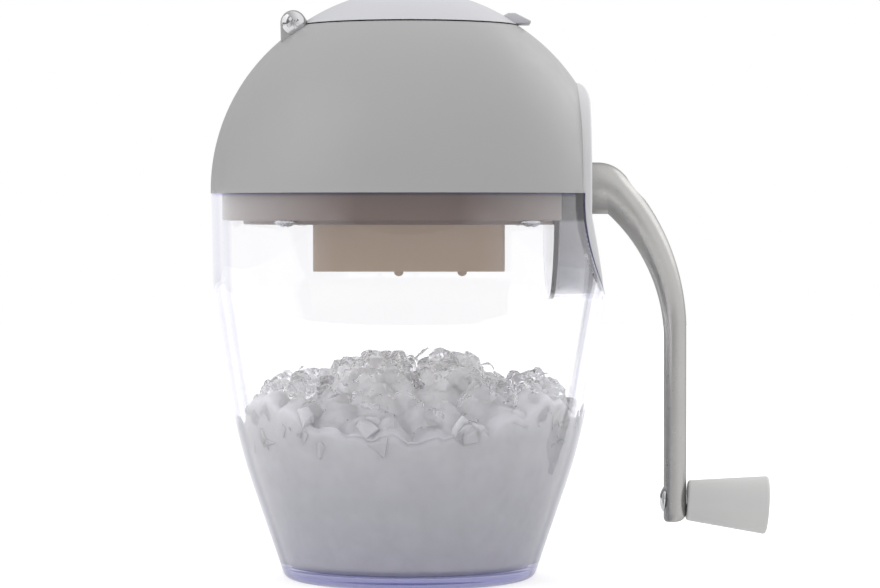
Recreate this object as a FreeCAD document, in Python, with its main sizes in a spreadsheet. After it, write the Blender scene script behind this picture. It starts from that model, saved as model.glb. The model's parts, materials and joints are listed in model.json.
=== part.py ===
import FreeCAD, Part

# Hand-cranked ice crusher: a clear jar that carries a domed head. Under the hinged lid
# a hopper feeds a toothed rotor, a crank on the right turns it, and the chute below
# drops the crushed ice into the jar.
# Millimetres. +X points to the crank, +Z up, origin at the jar's foot on its own axis.

import math
import os
import re

import Sketcher
from FreeCAD import Vector

os.makedirs("parts", exist_ok=True)
doc = FreeCAD.newDocument("ice_crusher")
sheet = doc.addObject("Spreadsheet::Sheet", "sizes")

sizes = {
    # jar
    "jar_height": 161.2,
    "jar_rim_radius": 83.0,
    "jar_shoulder_step": 0.8,
    "jar_shoulder_height": 121.0,
    "jar_belly_radius": 72.1,
    "jar_belly_height": 57.0,
    "jar_foot_radius": 52.4,
    "jar_wall": 4.0,
    "jar_floor": 5.0,
    "jar_shoulder_rounding": 60.0,
    "jar_belly_rounding": 220.0,
    "jar_foot_rounding": 4.0,
    # crushed ice in the jar, a heap with four mounds side by side
    "ice_edge_rise": 14.0,
    "ice_left_dip": -34.0,
    "ice_middle_dip": 3.0,
    "ice_right_dip": 38.0,
    "ice_dip_rise": 25.0,
    "ice_middle_rise": 30.0,
    "ice_low_mound": 8.0,
    "ice_high_mound": 9.5,
    "ice_front_rise": 9.0,
    "ice_back_rise": 21.0,
    "ice_peak_rise": 41.0,
    "ice_slope_mound": 5.0,
    # pocket in the jar's wall that the crank housing drops into
    "pocket_radius": 41.4,
    "pocket_drop": 1.0,
    "pocket_depth": 10.9,
    "pocket_wall": 2.0,
    "shaft_notch_radius": 7.0,
    # gaps
    "seat_gap": 0.3,
    "running_gap": 0.05,
    "turning_gap": 0.4,
    # dome of the head
    "dome_lap": 0.2,
    "dome_curve": 81.48,
    "dome_top_radius": 46.0,
    "dome_height": 69.8,
    "dome_wall": 3.0,
    "dome_edge_rounding": 1.2,
    "opening_radius": 42.5,
    "flat_depth": 12.1,
    # lid and its hinge
    "lid_margin": 0.4,
    "lid_curve": 78.7,
    "lid_wall": 2.5,
    "lid_gap": 0.6,
    "tab_width": 16.0,
    "tab_length": 5.2,
    "tab_height": 4.8,
    "tab_lip": 0.3,
    "tab_tip": 0.6,
    "tab_hollow": 3.4,
    "tab_crest": 2.0,
    "hinge_reach": 1.9,
    "hinge_lift": 0.6,
    "hinge_boss_depth": 12.0,
    "ear_depth": 9.0,
    "hinge_length": 38.2,
    "ear_radius": 5.3,
    "knuckle_length": 17.4,
    "hinge_pin_radius": 1.5,
    "hinge_cap_radius": 4.7,
    "hinge_cap_height": 1.8,
    # plate and housing round the crank's bearing
    "plate_wall": 3.7,
    "plate_rise": 46.3,
    "plate_top_drop": 9.5,
    "plate_top_rounding": 14.3,
    "flare_drop": 9.2,
    "flare_step": 6.6,
    "flare_wall": 5.0,
    # base plate under the dome
    "base_drop": 11.2,
    "base_floor": 3.0,
    "base_rim": 2.5,
    "tier_step": 8.9,
    "tier_drop": 1.7,
    "notch_margin": 6.6,
    "post_radius": 4.5,
    "post_rise": 38.8,
    "post_angle": 49.1,
    # crushing box: chute below, hopper above
    "box_length": 78.3,
    "box_width": 61.0,
    "box_wall": 2.7,
    "box_gap": 0.3,
    "chute_drop": 21.0,
    "flange_margin": 7.8,
    "flange_thickness": 2.5,
    "neck_rise": 28.8,
    "hopper_lap": 1.5,
    "rib_first": -30.2,
    "rib_pitch": 26.0,
    "rib_wall": 3.4,
    "rib_reach": 8.0,
    "peg_radius": 1.9,
    "peg_drop": 2.0,
    "peg_inset": 4.0,
    # drive
    "shaft_rise": 2.2,
    "shaft_radius": 5.0,
    "shaft_overhang": 2.05,
    "shaft_key_radius": 6.05,
    "key_play": 0.4,
    "bush_wall": 2.5,
    "bush_flange": 1.6,
    "bush_flange_wall": 1.5,
    "crank_bush_radius": 8.0,
    "circlip_radius": 8.0,
    "circlip_thickness": 1.0,
    "blade_radius": 26.0,
    "blade_thickness": 3.0,
    "spacer_radius": 9.0,
    # crank
    "hub_gap": 0.2,
    "hub_radius": 10.8,
    "hub_bore_depth": 7.1,
    "hub_step": 3.4,
    "crown_step": 4.2,
    "arm_reach": 41.4,
    "arm_bend_drop": 59.6,
    "arm_rounding": 95.0,
    "arm_thickness": 9.2,
    "throat_drop": 64.6,
    "throat_rounding": 72.9,
    "arm_drop": 139.8,
    "arm_corner": 4.0,
    "arm_width": 13.6,
    "neck_start": 11.4,
    "neck_length": 40.0,
    "crank_screw_radius": 2.5,
    "crank_screw_depth": 14.0,
    "crank_screw_head": 5.0,
    "crank_screw_head_height": 3.5,
    "crank_screw_web": 4.0,
    # grip
    "grip_step": 0.4,
    "crank_throw": 131.1,
    "grip_tilt": 3.6,
    "grip_length": 33.8,
    "grip_small_radius": 8.4,
    "grip_big_radius": 12.3,
    "grip_rounding": 1.2,
    "grip_pin_radius": 3.0,
    "grip_pin_head": 5.3,
    "grip_pin_head_height": 2.2,
    "grip_web": 9.35,
    "grip_recess_radius": 5.6,
    "grip_recess_depth": 8.0,
    "grip_cap_thickness": 2.0,
    "retainer_thickness": 1.6,
    # screws
    "pan_screw_radius": 2.0,
    "pan_head_radius": 4.2,
    "pan_head_height": 2.8,
    "base_screw_length": 22.0,
    "housing_screw_length": 12.8,
    "housing_screw_y": 22.0,
    "housing_screw_rise": 14.6,
    "small_screw_radius": 1.5,
    "small_head_radius": 3.0,
    "small_head_height": 2.0,
    "small_screw_length": 8.6,
    "small_screw_inset": 4.0,
}

for row, (name, value) in enumerate(sizes.items(), 1):
    sheet.set(f"A{row}", str(value))
    sheet.setAlias(f"A{row}", name)
doc.recompute()

# Places and sizes that follow from the ones above.
places = {
    "jar_shoulder_radius": "jar_rim_radius - jar_shoulder_step",
    "ice_edge": "jar_belly_height + ice_edge_rise",
    "ice_dip": "jar_belly_height + ice_dip_rise",
    "ice_middle": "jar_belly_height + ice_middle_rise",
    "ice_front": "jar_belly_height + ice_front_rise",
    "ice_back": "jar_belly_height + ice_back_rise",
    "ice_peak": "jar_belly_height + ice_peak_rise",
    "pocket_height": "jar_height - pocket_drop",
    "dome_radius": "jar_rim_radius + dome_lap",
    "dome_top_height": "jar_height + dome_height",
    "flat_place": "dome_radius - flat_depth",
    "pocket_back": "flat_place - pocket_depth",
    "lid_radius": "dome_top_radius - lid_margin",
    "tab_reach": "lid_radius + tab_length",
    "hinge_place": "dome_top_radius + hinge_reach",
    "shaft_height": "jar_height + shaft_rise",
    "plate_top": "jar_height + plate_rise",
    "flare_height": "jar_height - flare_drop",
    "flare_reach": "plate_face + flare_step",
    "base_height": "jar_height - base_drop",
    # the base plate passes the jar's bore, both at its own height and at the rim
    "base_radius": "jar_rim_radius - jar_wall - seat_gap - max(0; base_drop * tan(rim_lean))",
    "tier_radius": "base_radius - tier_step",
    "post_top": "jar_height + post_rise",
    "post_x": "(base_radius - post_radius) * cos(post_angle)",
    "post_y": "(base_radius - post_radius) * sin(post_angle)",
    "chute_bottom": "base_height - chute_drop",
    "hopper_neck": "jar_height + neck_rise",
    "hopper_radius": "opening_radius + hopper_lap",
    # the hopper's rim passes just under the lid's knuckle
    "hopper_top": "hinge_height - sqrt((ear_radius + seat_gap)^2 - (hinge_place - hopper_radius)^2)",
    "foot_lean": "atan((jar_belly_radius - jar_foot_radius) / jar_belly_height)",
    "belly_lean": "atan((jar_shoulder_radius - jar_belly_radius) / (jar_shoulder_height - jar_belly_height))",
    "rim_lean": "atan((jar_rim_radius - jar_shoulder_radius) / (jar_height - jar_shoulder_height))",
    "jar_floor_radius": "jar_foot_radius + tan(foot_lean) * jar_floor - jar_wall",
    "pocket_bottom": "pocket_height - pocket_radius",
    "leg_radius": "pocket_radius - seat_gap",
    "leg_back": "pocket_back + seat_gap",
    "flat_inside": "flat_place - dome_wall",
    "plate_face": "flat_place + plate_wall",
    "lid_rim": "dome_top_height + lid_gap",
    "lid_centre": "lid_rim - sqrt(lid_curve^2 - lid_radius^2)",
    "lid_top": "lid_centre + lid_curve",
    "lid_inner_radius": "sqrt((lid_curve - lid_wall)^2 - (lid_rim - lid_centre)^2)",
    "hinge_height": "dome_top_height + hinge_lift",
    "knuckle_radius": "ear_radius - seat_gap / 2",
    "ear_inside": "knuckle_length / 2 + turning_gap",
    "ear_outside": "hinge_length / 2",
    "base_top": "base_height + base_floor",
    "base_notch_x": "pocket_back - pocket_wall - seat_gap",
    "base_notch_y": "pocket_radius + pocket_wall + notch_margin",
    "flange_x": "box_length / 2 + flange_margin",
    "flange_y": "box_width / 2 + flange_margin",
    "box_seam": "base_top + flange_thickness",
    "hopper_flange_top": "box_seam + flange_thickness",
    "inside_x": "box_length / 2 - box_wall",
    "inside_y": "box_width / 2 - box_wall",
    "bush_radius": "shaft_radius + bush_wall",
    "bush_bore": "shaft_radius + running_gap",
    "key_end": "inside_x - key_play",
    "circlip_place": "box_length / 2 + bush_flange_wall + seat_gap",
    "shaft_tail": "circlip_place + circlip_thickness + shaft_overhang",
    "hub_face": "plate_face + hub_gap",
    "hub_top": "shaft_height + hub_radius",
    "hub_bottom": "shaft_height - hub_radius",
    "arm_crown_x": "plate_face + crown_step",
    "arm_outside_x": "plate_face + arm_reach",
    "arm_inside_x": "arm_outside_x - arm_thickness",
    "arm_bend_z": "shaft_height - arm_bend_drop",
    "throat_z": "shaft_height - throat_drop",
    "arm_bottom": "shaft_height - arm_drop",
    "neck_high": "shaft_height - neck_start",
    "neck_low": "neck_high - neck_length",
    "grip_place": "arm_outside_x + grip_step",
    "grip_height": "shaft_height - crank_throw",
    "housing_screw_z": "shaft_height + housing_screw_rise",
    # the crown's arc runs level off the hub and into the arm's large arc
    "crown_run": "arm_crown_x - arm_outside_x + arm_rounding",
    "crown_rise": "hub_top - arm_bend_z",
    "arm_crown": "(arm_rounding^2 - crown_run^2 - crown_rise^2) / (2 * (arm_rounding - crown_rise))",
    "crown_share": "arm_rounding / (arm_rounding - arm_crown)",
    "arm_joint_x": "arm_outside_x - arm_rounding + crown_share * crown_run",
    "arm_joint_z": "arm_bend_z + crown_share * (crown_rise - arm_crown)",
    "throat_end_x": "arm_inside_x - throat_rounding + sqrt(throat_rounding^2 - (hub_bottom - throat_z)^2)",
    "neck_step": "hub_radius - arm_width / 2",
    "neck_rounding": "(neck_step^2 + neck_length^2) / (4 * neck_step)",
    "shaft_end": "hub_face + hub_bore_depth",
    "screw_seat": "shaft_end + crank_screw_web",
    "recess_start": "grip_length - grip_recess_depth",
    "retainer_start": "recess_start + seat_gap",
    "small_screw_x": "flange_x - small_screw_inset",
    "small_screw_y": "flange_y - small_screw_inset",
}

# How far a cutting solid runs past the face that it opens.
past = 1.0

axes = {
    "X": FreeCAD.Rotation(Vector(0, 1, 0), 90),
    "Y": FreeCAD.Rotation(Vector(1, 0, 0), -90),
    "Z": FreeCAD.Rotation(),
}


def on_sheet(text):
    """Spell out a formula so that FreeCAD reads its sizes from the sheet."""
    def spell(word):
        name = word.group(0)
        if name in places:
            return f"({on_sheet(places[name])})"
        return f"sizes.{name}" if name in sizes else name
    return re.sub(r"[a-z_]+", spell, str(text))


def number(text):
    result = sheet.evalExpression(on_sheet(text))
    return float(getattr(result, "Value", result))


def bind(thing, name, text):
    thing.setExpression(name, on_sheet(text))


# ---- solids from Part primitives ----

def block(name, x_range, y_range, z_range):
    thing = doc.addObject("Part::Box", name)
    for side, axis, (low, high) in zip(("Length", "Width", "Height"), "xyz", (x_range, y_range, z_range)):
        bind(thing, side, f"({high}) - ({low})")
        bind(thing, f"Placement.Base.{axis}", low)
    return thing


def rod(name, axis, radius, start, end, centre=("0", "0")):
    """A cylinder along an axis; centre holds the other two coordinates in x, y, z order."""
    thing = doc.addObject("Part::Cylinder", name)
    bind(thing, "Radius", radius)
    lay(thing, axis, start, end, centre)
    return thing


def on_shaft(name, radius, start, end):
    return rod(name, "X", radius, start, end, ("0", "shaft_height"))


def lay(thing, axis, start, end, centre):
    thing.Placement = FreeCAD.Placement(Vector(), axes[axis])
    bind(thing, "Height", f"({end}) - ({start})")
    others = [letter for letter in "xyz" if letter != axis.lower()]
    bind(thing, f"Placement.Base.{axis.lower()}", start)
    for letter, place in zip(others, centre):
        bind(thing, f"Placement.Base.{letter}", place)


def join(name, *pieces):
    thing = doc.addObject("Part::MultiFuse", name)
    thing.Shapes = list(pieces)
    return thing


def cut(name, base, *tools):
    tool = tools[0] if len(tools) == 1 else join(f"{name}_cutters", *tools)
    thing = doc.addObject("Part::Cut", name)
    thing.Base = base
    thing.Tool = tool
    return thing


def overlap(name, *pieces):
    thing = doc.addObject("Part::MultiCommon", name)
    thing.Shapes = list(pieces)
    return thing


def group(name, *pieces):
    thing = doc.addObject("Part::Compound", name)
    thing.Links = list(pieces)
    return thing


# ---- solids from sketches ----

def new_body(name):
    body = doc.addObject("PartDesign::Body", name)
    body.Label = name
    return body


def sketch_on(body, role, offset="0"):
    sketch = body.newObject("Sketcher::SketchObject", f"{body.Name}_sketch")
    sketch.AttachmentSupport = (next(f for f in body.Origin.OriginFeatures if f.Role == role), "")
    sketch.MapMode = "FlatFace"
    bind(sketch, "AttachmentOffset.Base.z", offset)
    return sketch


def arc_through(start, end, radius):
    """Arc from start to end; a positive radius turns left, a negative one right."""
    chord = end - start
    size = abs(radius)
    across = Vector(-chord.y, chord.x, 0).normalize() * math.copysign(1, radius)
    centre = (start + end) / 2 + across * math.sqrt(max(size ** 2 - (chord.Length / 2) ** 2, 0))
    circle = Part.Circle(centre, Vector(0, 0, 1), size)
    first, last = (start, end) if radius > 0 else (end, start)
    return Part.ArcOfCircle(circle, circle.parameter(first), circle.parameter(last))


def trace(sketch, path):
    """Draw a closed outline. Each corner is (x, y), or (x, y, radius) where an arc arrives."""
    spots = [Vector(number(corner[0]), number(corner[1]), 0) for corner in path]
    ends = []
    for place, corner in enumerate(path):
        start, end = spots[place - 1], spots[place]
        if len(corner) == 3:
            radius = number(corner[2])
            line = sketch.addGeometry(arc_through(start, end, radius), False)
            ends.append((line, 1, 2) if radius > 0 else (line, 2, 1))
            limit = sketch.addConstraint(Sketcher.Constraint("Radius", line, abs(radius)))
            bind(sketch, f"Constraints[{limit}]", f"abs({corner[2]})")
        else:
            line = sketch.addGeometry(Part.LineSegment(start, end), False)
            ends.append((line, 1, 2))
    for place, corner in enumerate(path):
        line, _, finish = ends[place]
        next_line, begin, _ = ends[(place + 1) % len(path)]
        sketch.addConstraint(Sketcher.Constraint("Coincident", line, finish, next_line, begin))
        for kind, text, value in zip(("DistanceX", "DistanceY"), corner, spots[place]):
            pin = sketch.addConstraint(Sketcher.Constraint(kind, -1, 1, line, finish, value))
            bind(sketch, f"Constraints[{pin}]", text)


def pad(name, role, path, length, offset="0", symmetric=False):
    body = new_body(name)
    sketch = sketch_on(body, role, offset)
    trace(sketch, path)
    feature = body.newObject("PartDesign::Pad", f"{name}_pad")
    feature.Profile = sketch
    feature.SideType = "Symmetric" if symmetric else "One side"
    bind(feature, "Length", length)
    return body


def spin(name, path, axis="V_Axis"):
    """Revolve an outline in the XZ plane about the Z axis, or about X with H_Axis."""
    body = new_body(name)
    sketch = sketch_on(body, "XZ_Plane")
    trace(sketch, path)
    feature = body.newObject("PartDesign::Revolution", f"{name}_turn")
    feature.Profile = sketch
    feature.ReferenceAxis = (sketch, [axis])
    feature.Angle = 360
    return body


def soften(body, radius, chosen):
    """Round the edges that chosen(edge) picks on the body's last feature."""
    doc.recompute()
    tip = body.Tip
    names = [f"Edge{place}" for place, edge in enumerate(tip.Shape.Edges, 1) if chosen(edge)]
    if not names:
        raise RuntimeError(f"{body.Label}: no edge to round")
    feature = body.newObject("PartDesign::Fillet", f"{body.Name}_round")
    feature.Base = (tip, names)
    bind(feature, "Radius", radius)
    return body


def is_ring(edge):
    return isinstance(edge.Curve, Part.Circle) and edge.isClosed()


def ring_at(height):
    level = number(height)
    return lambda edge: is_ring(edge) and abs(edge.Curve.Center.z - level) < 0.01


# ---- jar ----

def bend(radius, height, lean_in, lean_out, rounding):
    """Two points that take an outline round a bend, from one lean off the vertical to the next."""
    turn = f"({lean_in} - {lean_out})"
    run = f"({rounding}) * tan(abs{turn} / 2)"
    return [
        (f"{radius} - {run} * sin({lean_in})", f"{height} - {run} * cos({lean_in})"),
        (f"{radius} + {run} * sin({lean_out})", f"{height} + {run} * cos({lean_out})",
         f"({rounding}) * {turn} / abs{turn}"),
    ]


def jar_side(inset, bottom_radius, bottom, name):
    body = spin(name, [
        ("0", bottom),
        (bottom_radius, bottom),
        *bend(f"jar_belly_radius - {inset}", "jar_belly_height", "foot_lean", "belly_lean",
              f"jar_belly_rounding - {inset}"),
        *bend(f"jar_shoulder_radius - {inset}", "jar_shoulder_height", "belly_lean", "rim_lean",
              f"jar_shoulder_rounding - {inset}"),
        (f"jar_rim_radius - {inset}", "jar_height"),
        ("0", "jar_height"),
    ])
    return soften(body, f"jar_foot_rounding - {inset} / 4", ring_at(bottom))


def pocket_shape(name, radius, back, top):
    return pad(name, "YZ_Plane", [
        (f"-({radius})", "pocket_height"),
        ("0", f"pocket_height - ({radius})", radius),
        (radius, "pocket_height", radius),
        (radius, top),
        (f"-({radius})", top),
    ], "jar_rim_radius", offset=back)


def make_jar():
    outside = jar_side("0", "jar_foot_radius", "0", "jar_outside")
    inside = jar_side("jar_wall", "jar_floor_radius", "jar_floor", "jar_inside")
    block_shape = pocket_shape(
        "pocket_block", "pocket_radius + pocket_wall", "pocket_back - pocket_wall", "jar_height")
    hollow = cut("jar_hollow", inside, block_shape)
    cavity = pocket_shape("pocket_cavity", "pocket_radius", "pocket_back", f"jar_height + {past}")
    notch = on_shaft("shaft_notch", "shaft_notch_radius", "pocket_back - 2 * pocket_wall",
                     "pocket_back + pocket_wall")
    return cut("jar", outside, hollow, cavity, notch)


# ---- crushed ice ----

def heap_outline(first, *mounds):
    """An outline under a row of mounds, each (x, height, rise above its chord), from right to left."""
    corners = [("-jar_belly_radius", "0"), ("jar_belly_radius", "0"), first]
    for x, height, rise in mounds:
        before_x, before_height = corners[-1][:2]
        chord = f"((({before_x}) - ({x}))^2 + ({before_height} - {height})^2)"
        corners.append((x, height, f"({chord} / 4 + {rise}^2) / (2 * {rise})"))
    return corners


def make_crushed_ice():
    sides = jar_side("(jar_wall + seat_gap)", "jar_floor_radius - seat_gap", "jar_floor", "ice_sides")
    across = pad("ice_across", "XZ_Plane", heap_outline(
        ("jar_belly_radius", "ice_edge"),
        ("ice_right_dip", "ice_dip", "ice_low_mound"),
        ("ice_middle_dip", "ice_middle", "ice_high_mound"),
        ("ice_left_dip", "ice_dip", "ice_high_mound"),
        ("-jar_belly_radius", "ice_edge", "ice_low_mound"),
    ), "2 * jar_belly_radius", symmetric=True)
    slopes = pad("ice_slopes", "YZ_Plane", heap_outline(
        ("jar_belly_radius", "ice_back"),
        ("0", "ice_peak", "ice_slope_mound"),
        ("-jar_belly_radius", "ice_front", "ice_slope_mound"),
    ), "2 * jar_belly_radius", symmetric=True)
    return overlap("crushed_ice", sides, across, slopes)


# ---- dome ----

def dome_side(name, inset):
    return spin(name, [
        ("0", "jar_height"),
        (f"dome_radius - {inset}", "jar_height"),
        (f"dome_top_radius - {inset} / 2", f"dome_top_height - {inset} / 2", f"dome_curve - {inset}"),
        ("0", f"dome_top_height - {inset} / 2"),
    ])


def hinge_rod(name, radius, start, end):
    return rod(name, "Y", radius, start, end, ("-hinge_place", "hinge_height"))


def make_dome():
    outside = dome_side("dome_outside", "0")
    soften(outside, "dome_edge_rounding", ring_at("jar_height"))
    outer_skin = cut("dome_skin", outside, block(
        "beyond_flat", ("flat_place", "2 * dome_radius"), ("-dome_radius", "dome_radius"),
        (f"jar_height - {past}", f"dome_top_height + {past}")))
    inner_skin = cut("dome_core", dome_side("dome_inside", "dome_wall"), block(
        "beyond_flat_wall", ("flat_inside", "2 * dome_radius"), ("-dome_radius", "dome_radius"),
        (f"jar_height - {past}", f"dome_top_height + {past}")))
    shell = cut("dome_cup", outer_skin, inner_skin)

    solid_dome = dome_side("dome_limit", "dome_edge_rounding")
    posts = [rod(f"post_{place}", "Z", "post_radius", "jar_height", "post_top", spot)
             for place, spot in enumerate(corners("post_x", "post_y"), 1)]
    hinge_boss = block(
        "hinge_boss", ("-hinge_place - ear_radius", "-hopper_radius - 2 * seat_gap"),
        ("-ear_outside", "ear_outside"),
        ("dome_top_height - hinge_boss_depth", "dome_top_height - dome_wall / 2"))
    inner_bosses = overlap("dome_bosses", solid_dome, join("dome_boss_blanks", *posts, hinge_boss))

    ears = []
    for side, (start, end) in enumerate((("-ear_outside", "-ear_inside"), ("ear_inside", "ear_outside")), 1):
        ears.append(hinge_rod(f"ear_{side}", "ear_radius", start, end))
        ears.append(block(f"ear_foot_{side}", ("-hinge_place - ear_radius", "-hopper_radius - 2 * seat_gap"),
                          (start, end), ("dome_top_height - ear_depth", "hinge_height")))
    body = join("dome_body", shell, inner_bosses, *ears)

    return cut(
        "dome_shell", body,
        rod("opening", "Z", "opening_radius", "hopper_neck", "dome_top_height + ear_radius"),
        hinge_rod("knuckle_room", "ear_radius + seat_gap", "-ear_inside", "ear_inside"),
        hinge_rod("hinge_bore", "hinge_pin_radius", f"-ear_outside - {past}", f"ear_outside + {past}"),
        hinge_rod("front_cap_room", "hinge_cap_radius + seat_gap",
                  "-ear_outside - 2 * hinge_cap_height", "-ear_outside"),
        hinge_rod("back_cap_room", "hinge_cap_radius + seat_gap",
                  "ear_outside", "ear_outside + 2 * hinge_cap_height"),
        on_shaft("dome_bush_hole", "crank_bush_radius", f"flat_inside - {past}", f"flat_place + {past}"),
        *housing_screw_holes("dome", "pan_screw_radius"),
        *[rod(f"post_bore_{place}", "Z", "pan_screw_radius", f"jar_height - {past}",
              "base_height + base_screw_length", spot)
          for place, spot in enumerate(corners("post_x", "post_y"), 1)])


def corners(x, y):
    return [(f"{sign_x}{x}", f"{sign_y}{y}") for sign_x in ("", "-") for sign_y in ("", "-")]


# ---- lid ----

def make_lid():
    cap = spin("lid_cap", [
        ("0", "lid_top - lid_wall"),
        ("lid_inner_radius", "lid_rim", "-(lid_curve - lid_wall)"),
        ("lid_radius", "lid_rim"),
        ("0", "lid_top", "lid_curve"),
    ])
    tab = pad("lid_tab", "XZ_Plane", [
        ("lid_inner_radius", "lid_rim + lid_wall / 2"),
        ("lid_radius - tab_crest", "lid_rim + tab_lip"),
        ("tab_reach - tab_tip", "lid_rim + tab_lip"),
        ("tab_reach", "lid_rim + tab_lip + 2 * tab_tip"),
        ("tab_reach - tab_hollow", "lid_rim + (tab_lip + tab_height) / 2 + tab_tip"),
        ("lid_radius - tab_crest", "lid_rim + tab_height"),
        ("lid_radius - 2 * tab_crest", "lid_rim + tab_height"),
        ("lid_radius - tab_length", "lid_rim + lid_wall"),
    ], "tab_width", symmetric=True)
    knuckle = hinge_rod("lid_knuckle", "knuckle_radius", "-knuckle_length / 2", "knuckle_length / 2")
    rooms = [
        hinge_rod(f"ear_room_{side}", "ear_radius + turning_gap", start, end)
        for side, (start, end) in enumerate((
            ("-ear_outside - turning_gap", "-knuckle_length / 2"),
            ("knuckle_length / 2", "ear_outside + turning_gap")), 1)]
    bore = hinge_rod("lid_bore", "hinge_pin_radius + running_gap", "-knuckle_length", "knuckle_length")
    return cut("lid", join("lid_body", cap, tab, knuckle), *rooms, bore)


brim = 0.25


def crown(radius, height):
    """Radius of the round top of a domed head, above a straight brim."""
    rise = f"({1 - brim} * ({height}))"
    return f"(({radius})^2 + {rise}^2) / (2 * {rise})"


def dome_head(name, radius, height, shank, length):
    """A domed head on a shank, on the Z axis: the head is below z = 0, the shank above."""
    return spin(name, [
        ("0", length),
        ("0", f"-({height})"),
        (radius, f"-{brim} * ({height})", crown(radius, height)),
        (radius, "0"),
        (shank, "0"),
        (shank, length),
    ])


def make_hinge_pin():
    pin = dome_head("hinge_pin", "hinge_cap_radius", "hinge_cap_height", "hinge_pin_radius", "hinge_length")
    return aim(pin, Vector(1, 0, 0), -90, ("-hinge_place", "-ear_outside", "hinge_height"))


def make_hinge_cap():
    cap = spin("hinge_cap", [
        ("0", "0"),
        ("hinge_cap_radius", "0"),
        ("hinge_cap_radius", f"{brim} * hinge_cap_height"),
        ("0", "hinge_cap_height", crown("hinge_cap_radius", "hinge_cap_height")),
    ])
    return aim(cap, Vector(1, 0, 0), -90, ("-hinge_place", "ear_outside", "hinge_height"))


def aim(thing, axis, angle, place):
    thing.Placement = FreeCAD.Placement(Vector(), FreeCAD.Rotation(axis, angle))
    for letter, text in zip("xyz", place):
        bind(thing, f"Placement.Base.{letter}", text)
    return thing


# ---- crank plate and housing ----

def oval(name, low, high, start, length):
    radius = "leg_radius"
    return pad(name, "YZ_Plane", [
        (f"-{radius}", low),
        ("0", f"{low} - {radius}", radius),
        (radius, low, radius),
        (radius, high),
        ("0", f"{high} + {radius}", radius),
        (f"-{radius}", high, radius),
    ], length, offset=start)


def housing_screw_holes(owner, radius):
    return [rod(f"{owner}_screw_hole_{side}", "X", radius, f"leg_back - {past}",
                "leg_back + housing_screw_length",
                (y, "housing_screw_z"))
            for side, y in enumerate(("-housing_screw_y", "housing_screw_y"), 1)]


def make_crank_plate():
    side = pad("plate_side", "XZ_Plane", [
        ("flat_place", "flare_height"),
        ("flare_reach - flare_wall", "pocket_bottom"),
        ("flare_reach", "pocket_bottom"),
        ("plate_face", "flare_height"),
        ("plate_face", "plate_top - plate_top_drop"),
        ("flat_place", "plate_top", "plate_top_rounding"),
    ], "3 * pocket_radius", symmetric=True)
    front = oval("plate_front", "pocket_height", "(plate_top - leg_radius)", "pocket_back", "pocket_radius")
    return cut("crank_plate", overlap("plate_body", side, front),
               on_shaft("plate_bush_hole", "crank_bush_radius",
                        f"flat_place - {past}", f"plate_face + {past}"),
               *housing_screw_holes("plate", "pan_screw_radius"))


def make_crank_housing():
    side = pad("housing_side", "XZ_Plane", [
        ("leg_back", "pocket_bottom"),
        ("flare_reach - flare_wall", "pocket_bottom"),
        ("flat_place", "flare_height"),
        ("flat_place", "jar_height"),
        ("flat_inside", "jar_height"),
        ("flat_inside", "pocket_height + pocket_radius"),
        ("leg_back", "pocket_height + pocket_radius"),
    ], "3 * pocket_radius", symmetric=True)
    drum = rod("housing_drum", "X", "leg_radius", "pocket_back", "flare_reach", ("0", "pocket_height"))
    return cut("crank_housing", overlap("housing_body", side, drum),
               on_shaft("housing_bush_hole", "crank_bush_radius", "pocket_back", "flare_reach"),
               *housing_screw_holes("housing", "pan_screw_radius"))


# ---- base plate ----

def make_base_plate():
    spots = list(enumerate(corners("post_x", "post_y"), 1))
    body = join(
        "base_body",
        cut("base_tray",
            rod("base_disc", "Z", "base_radius", "base_height", "jar_height"),
            rod("base_hollow", "Z", "base_radius - base_rim", "base_top", f"jar_height + {past}")),
        rod("base_tier", "Z", "tier_radius", "base_height - tier_drop", "base_height"),
        *[rod(f"base_boss_{place}", "Z", "post_radius", "base_height", "jar_height", spot)
          for place, spot in spots])
    return cut(
        "base_plate", body,
        middle_block("base_window", "box_length / 2 + box_gap", "box_width / 2 + box_gap",
                     (f"base_height - tier_drop - {past}", f"base_top + {past}")),
        block("base_notch", ("base_notch_x", "2 * base_radius"), ("-base_notch_y", "base_notch_y"),
              (f"base_height - tier_drop - {past}", f"jar_height + {past}")),
        *[rod(f"base_screw_hole_{place}", "Z", "pan_screw_radius", f"base_height - tier_drop - {past}",
              f"jar_height + {past}", spot)
          for place, spot in spots],
        *small_screw_holes("base"))


def small_screw_holes(owner):
    return [rod(f"{owner}_small_hole_{place}", "Z", "small_screw_radius",
                "hopper_flange_top - small_screw_length", f"hopper_flange_top + {past}", spot)
            for place, spot in enumerate(corners("small_screw_x", "small_screw_y"), 1)]


# ---- crushing box ----

def middle_block(name, half_x, half_y, z_range):
    return block(name, (f"-({half_x})", half_x), (f"-({half_y})", half_y), z_range)


rib_count = 3


def make_chute():
    walls = cut(
        "chute_walls",
        join("chute_blank",
             middle_block("chute_box", "box_length / 2", "box_width / 2", ("chute_bottom", "box_seam")),
             middle_block("chute_flange", "flange_x", "flange_y", ("base_top", "box_seam"))),
        middle_block("chute_bore", "inside_x", "inside_y", (f"chute_bottom - {past}", f"box_seam + {past}")))
    ribs = []
    for place in range(rib_count):
        middle = f"rib_first + {place} * rib_pitch"
        ribs.append(block(f"chute_rib_{place + 1}", (f"{middle} - rib_wall / 2", f"{middle} + rib_wall / 2"),
                          ("-inside_y - box_wall / 2", "-rib_reach"), ("chute_bottom", "box_seam")))
        if place:
            ribs.append(rod(f"chute_peg_{place}", "Z", "peg_radius", "chute_bottom - peg_drop",
                            f"chute_bottom + {past}", (middle, "-inside_y + peg_inset")))
    return cut("chute", join("chute_body", walls, *ribs), *bush_reliefs("chute"), *small_screw_holes("chute"))


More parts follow.
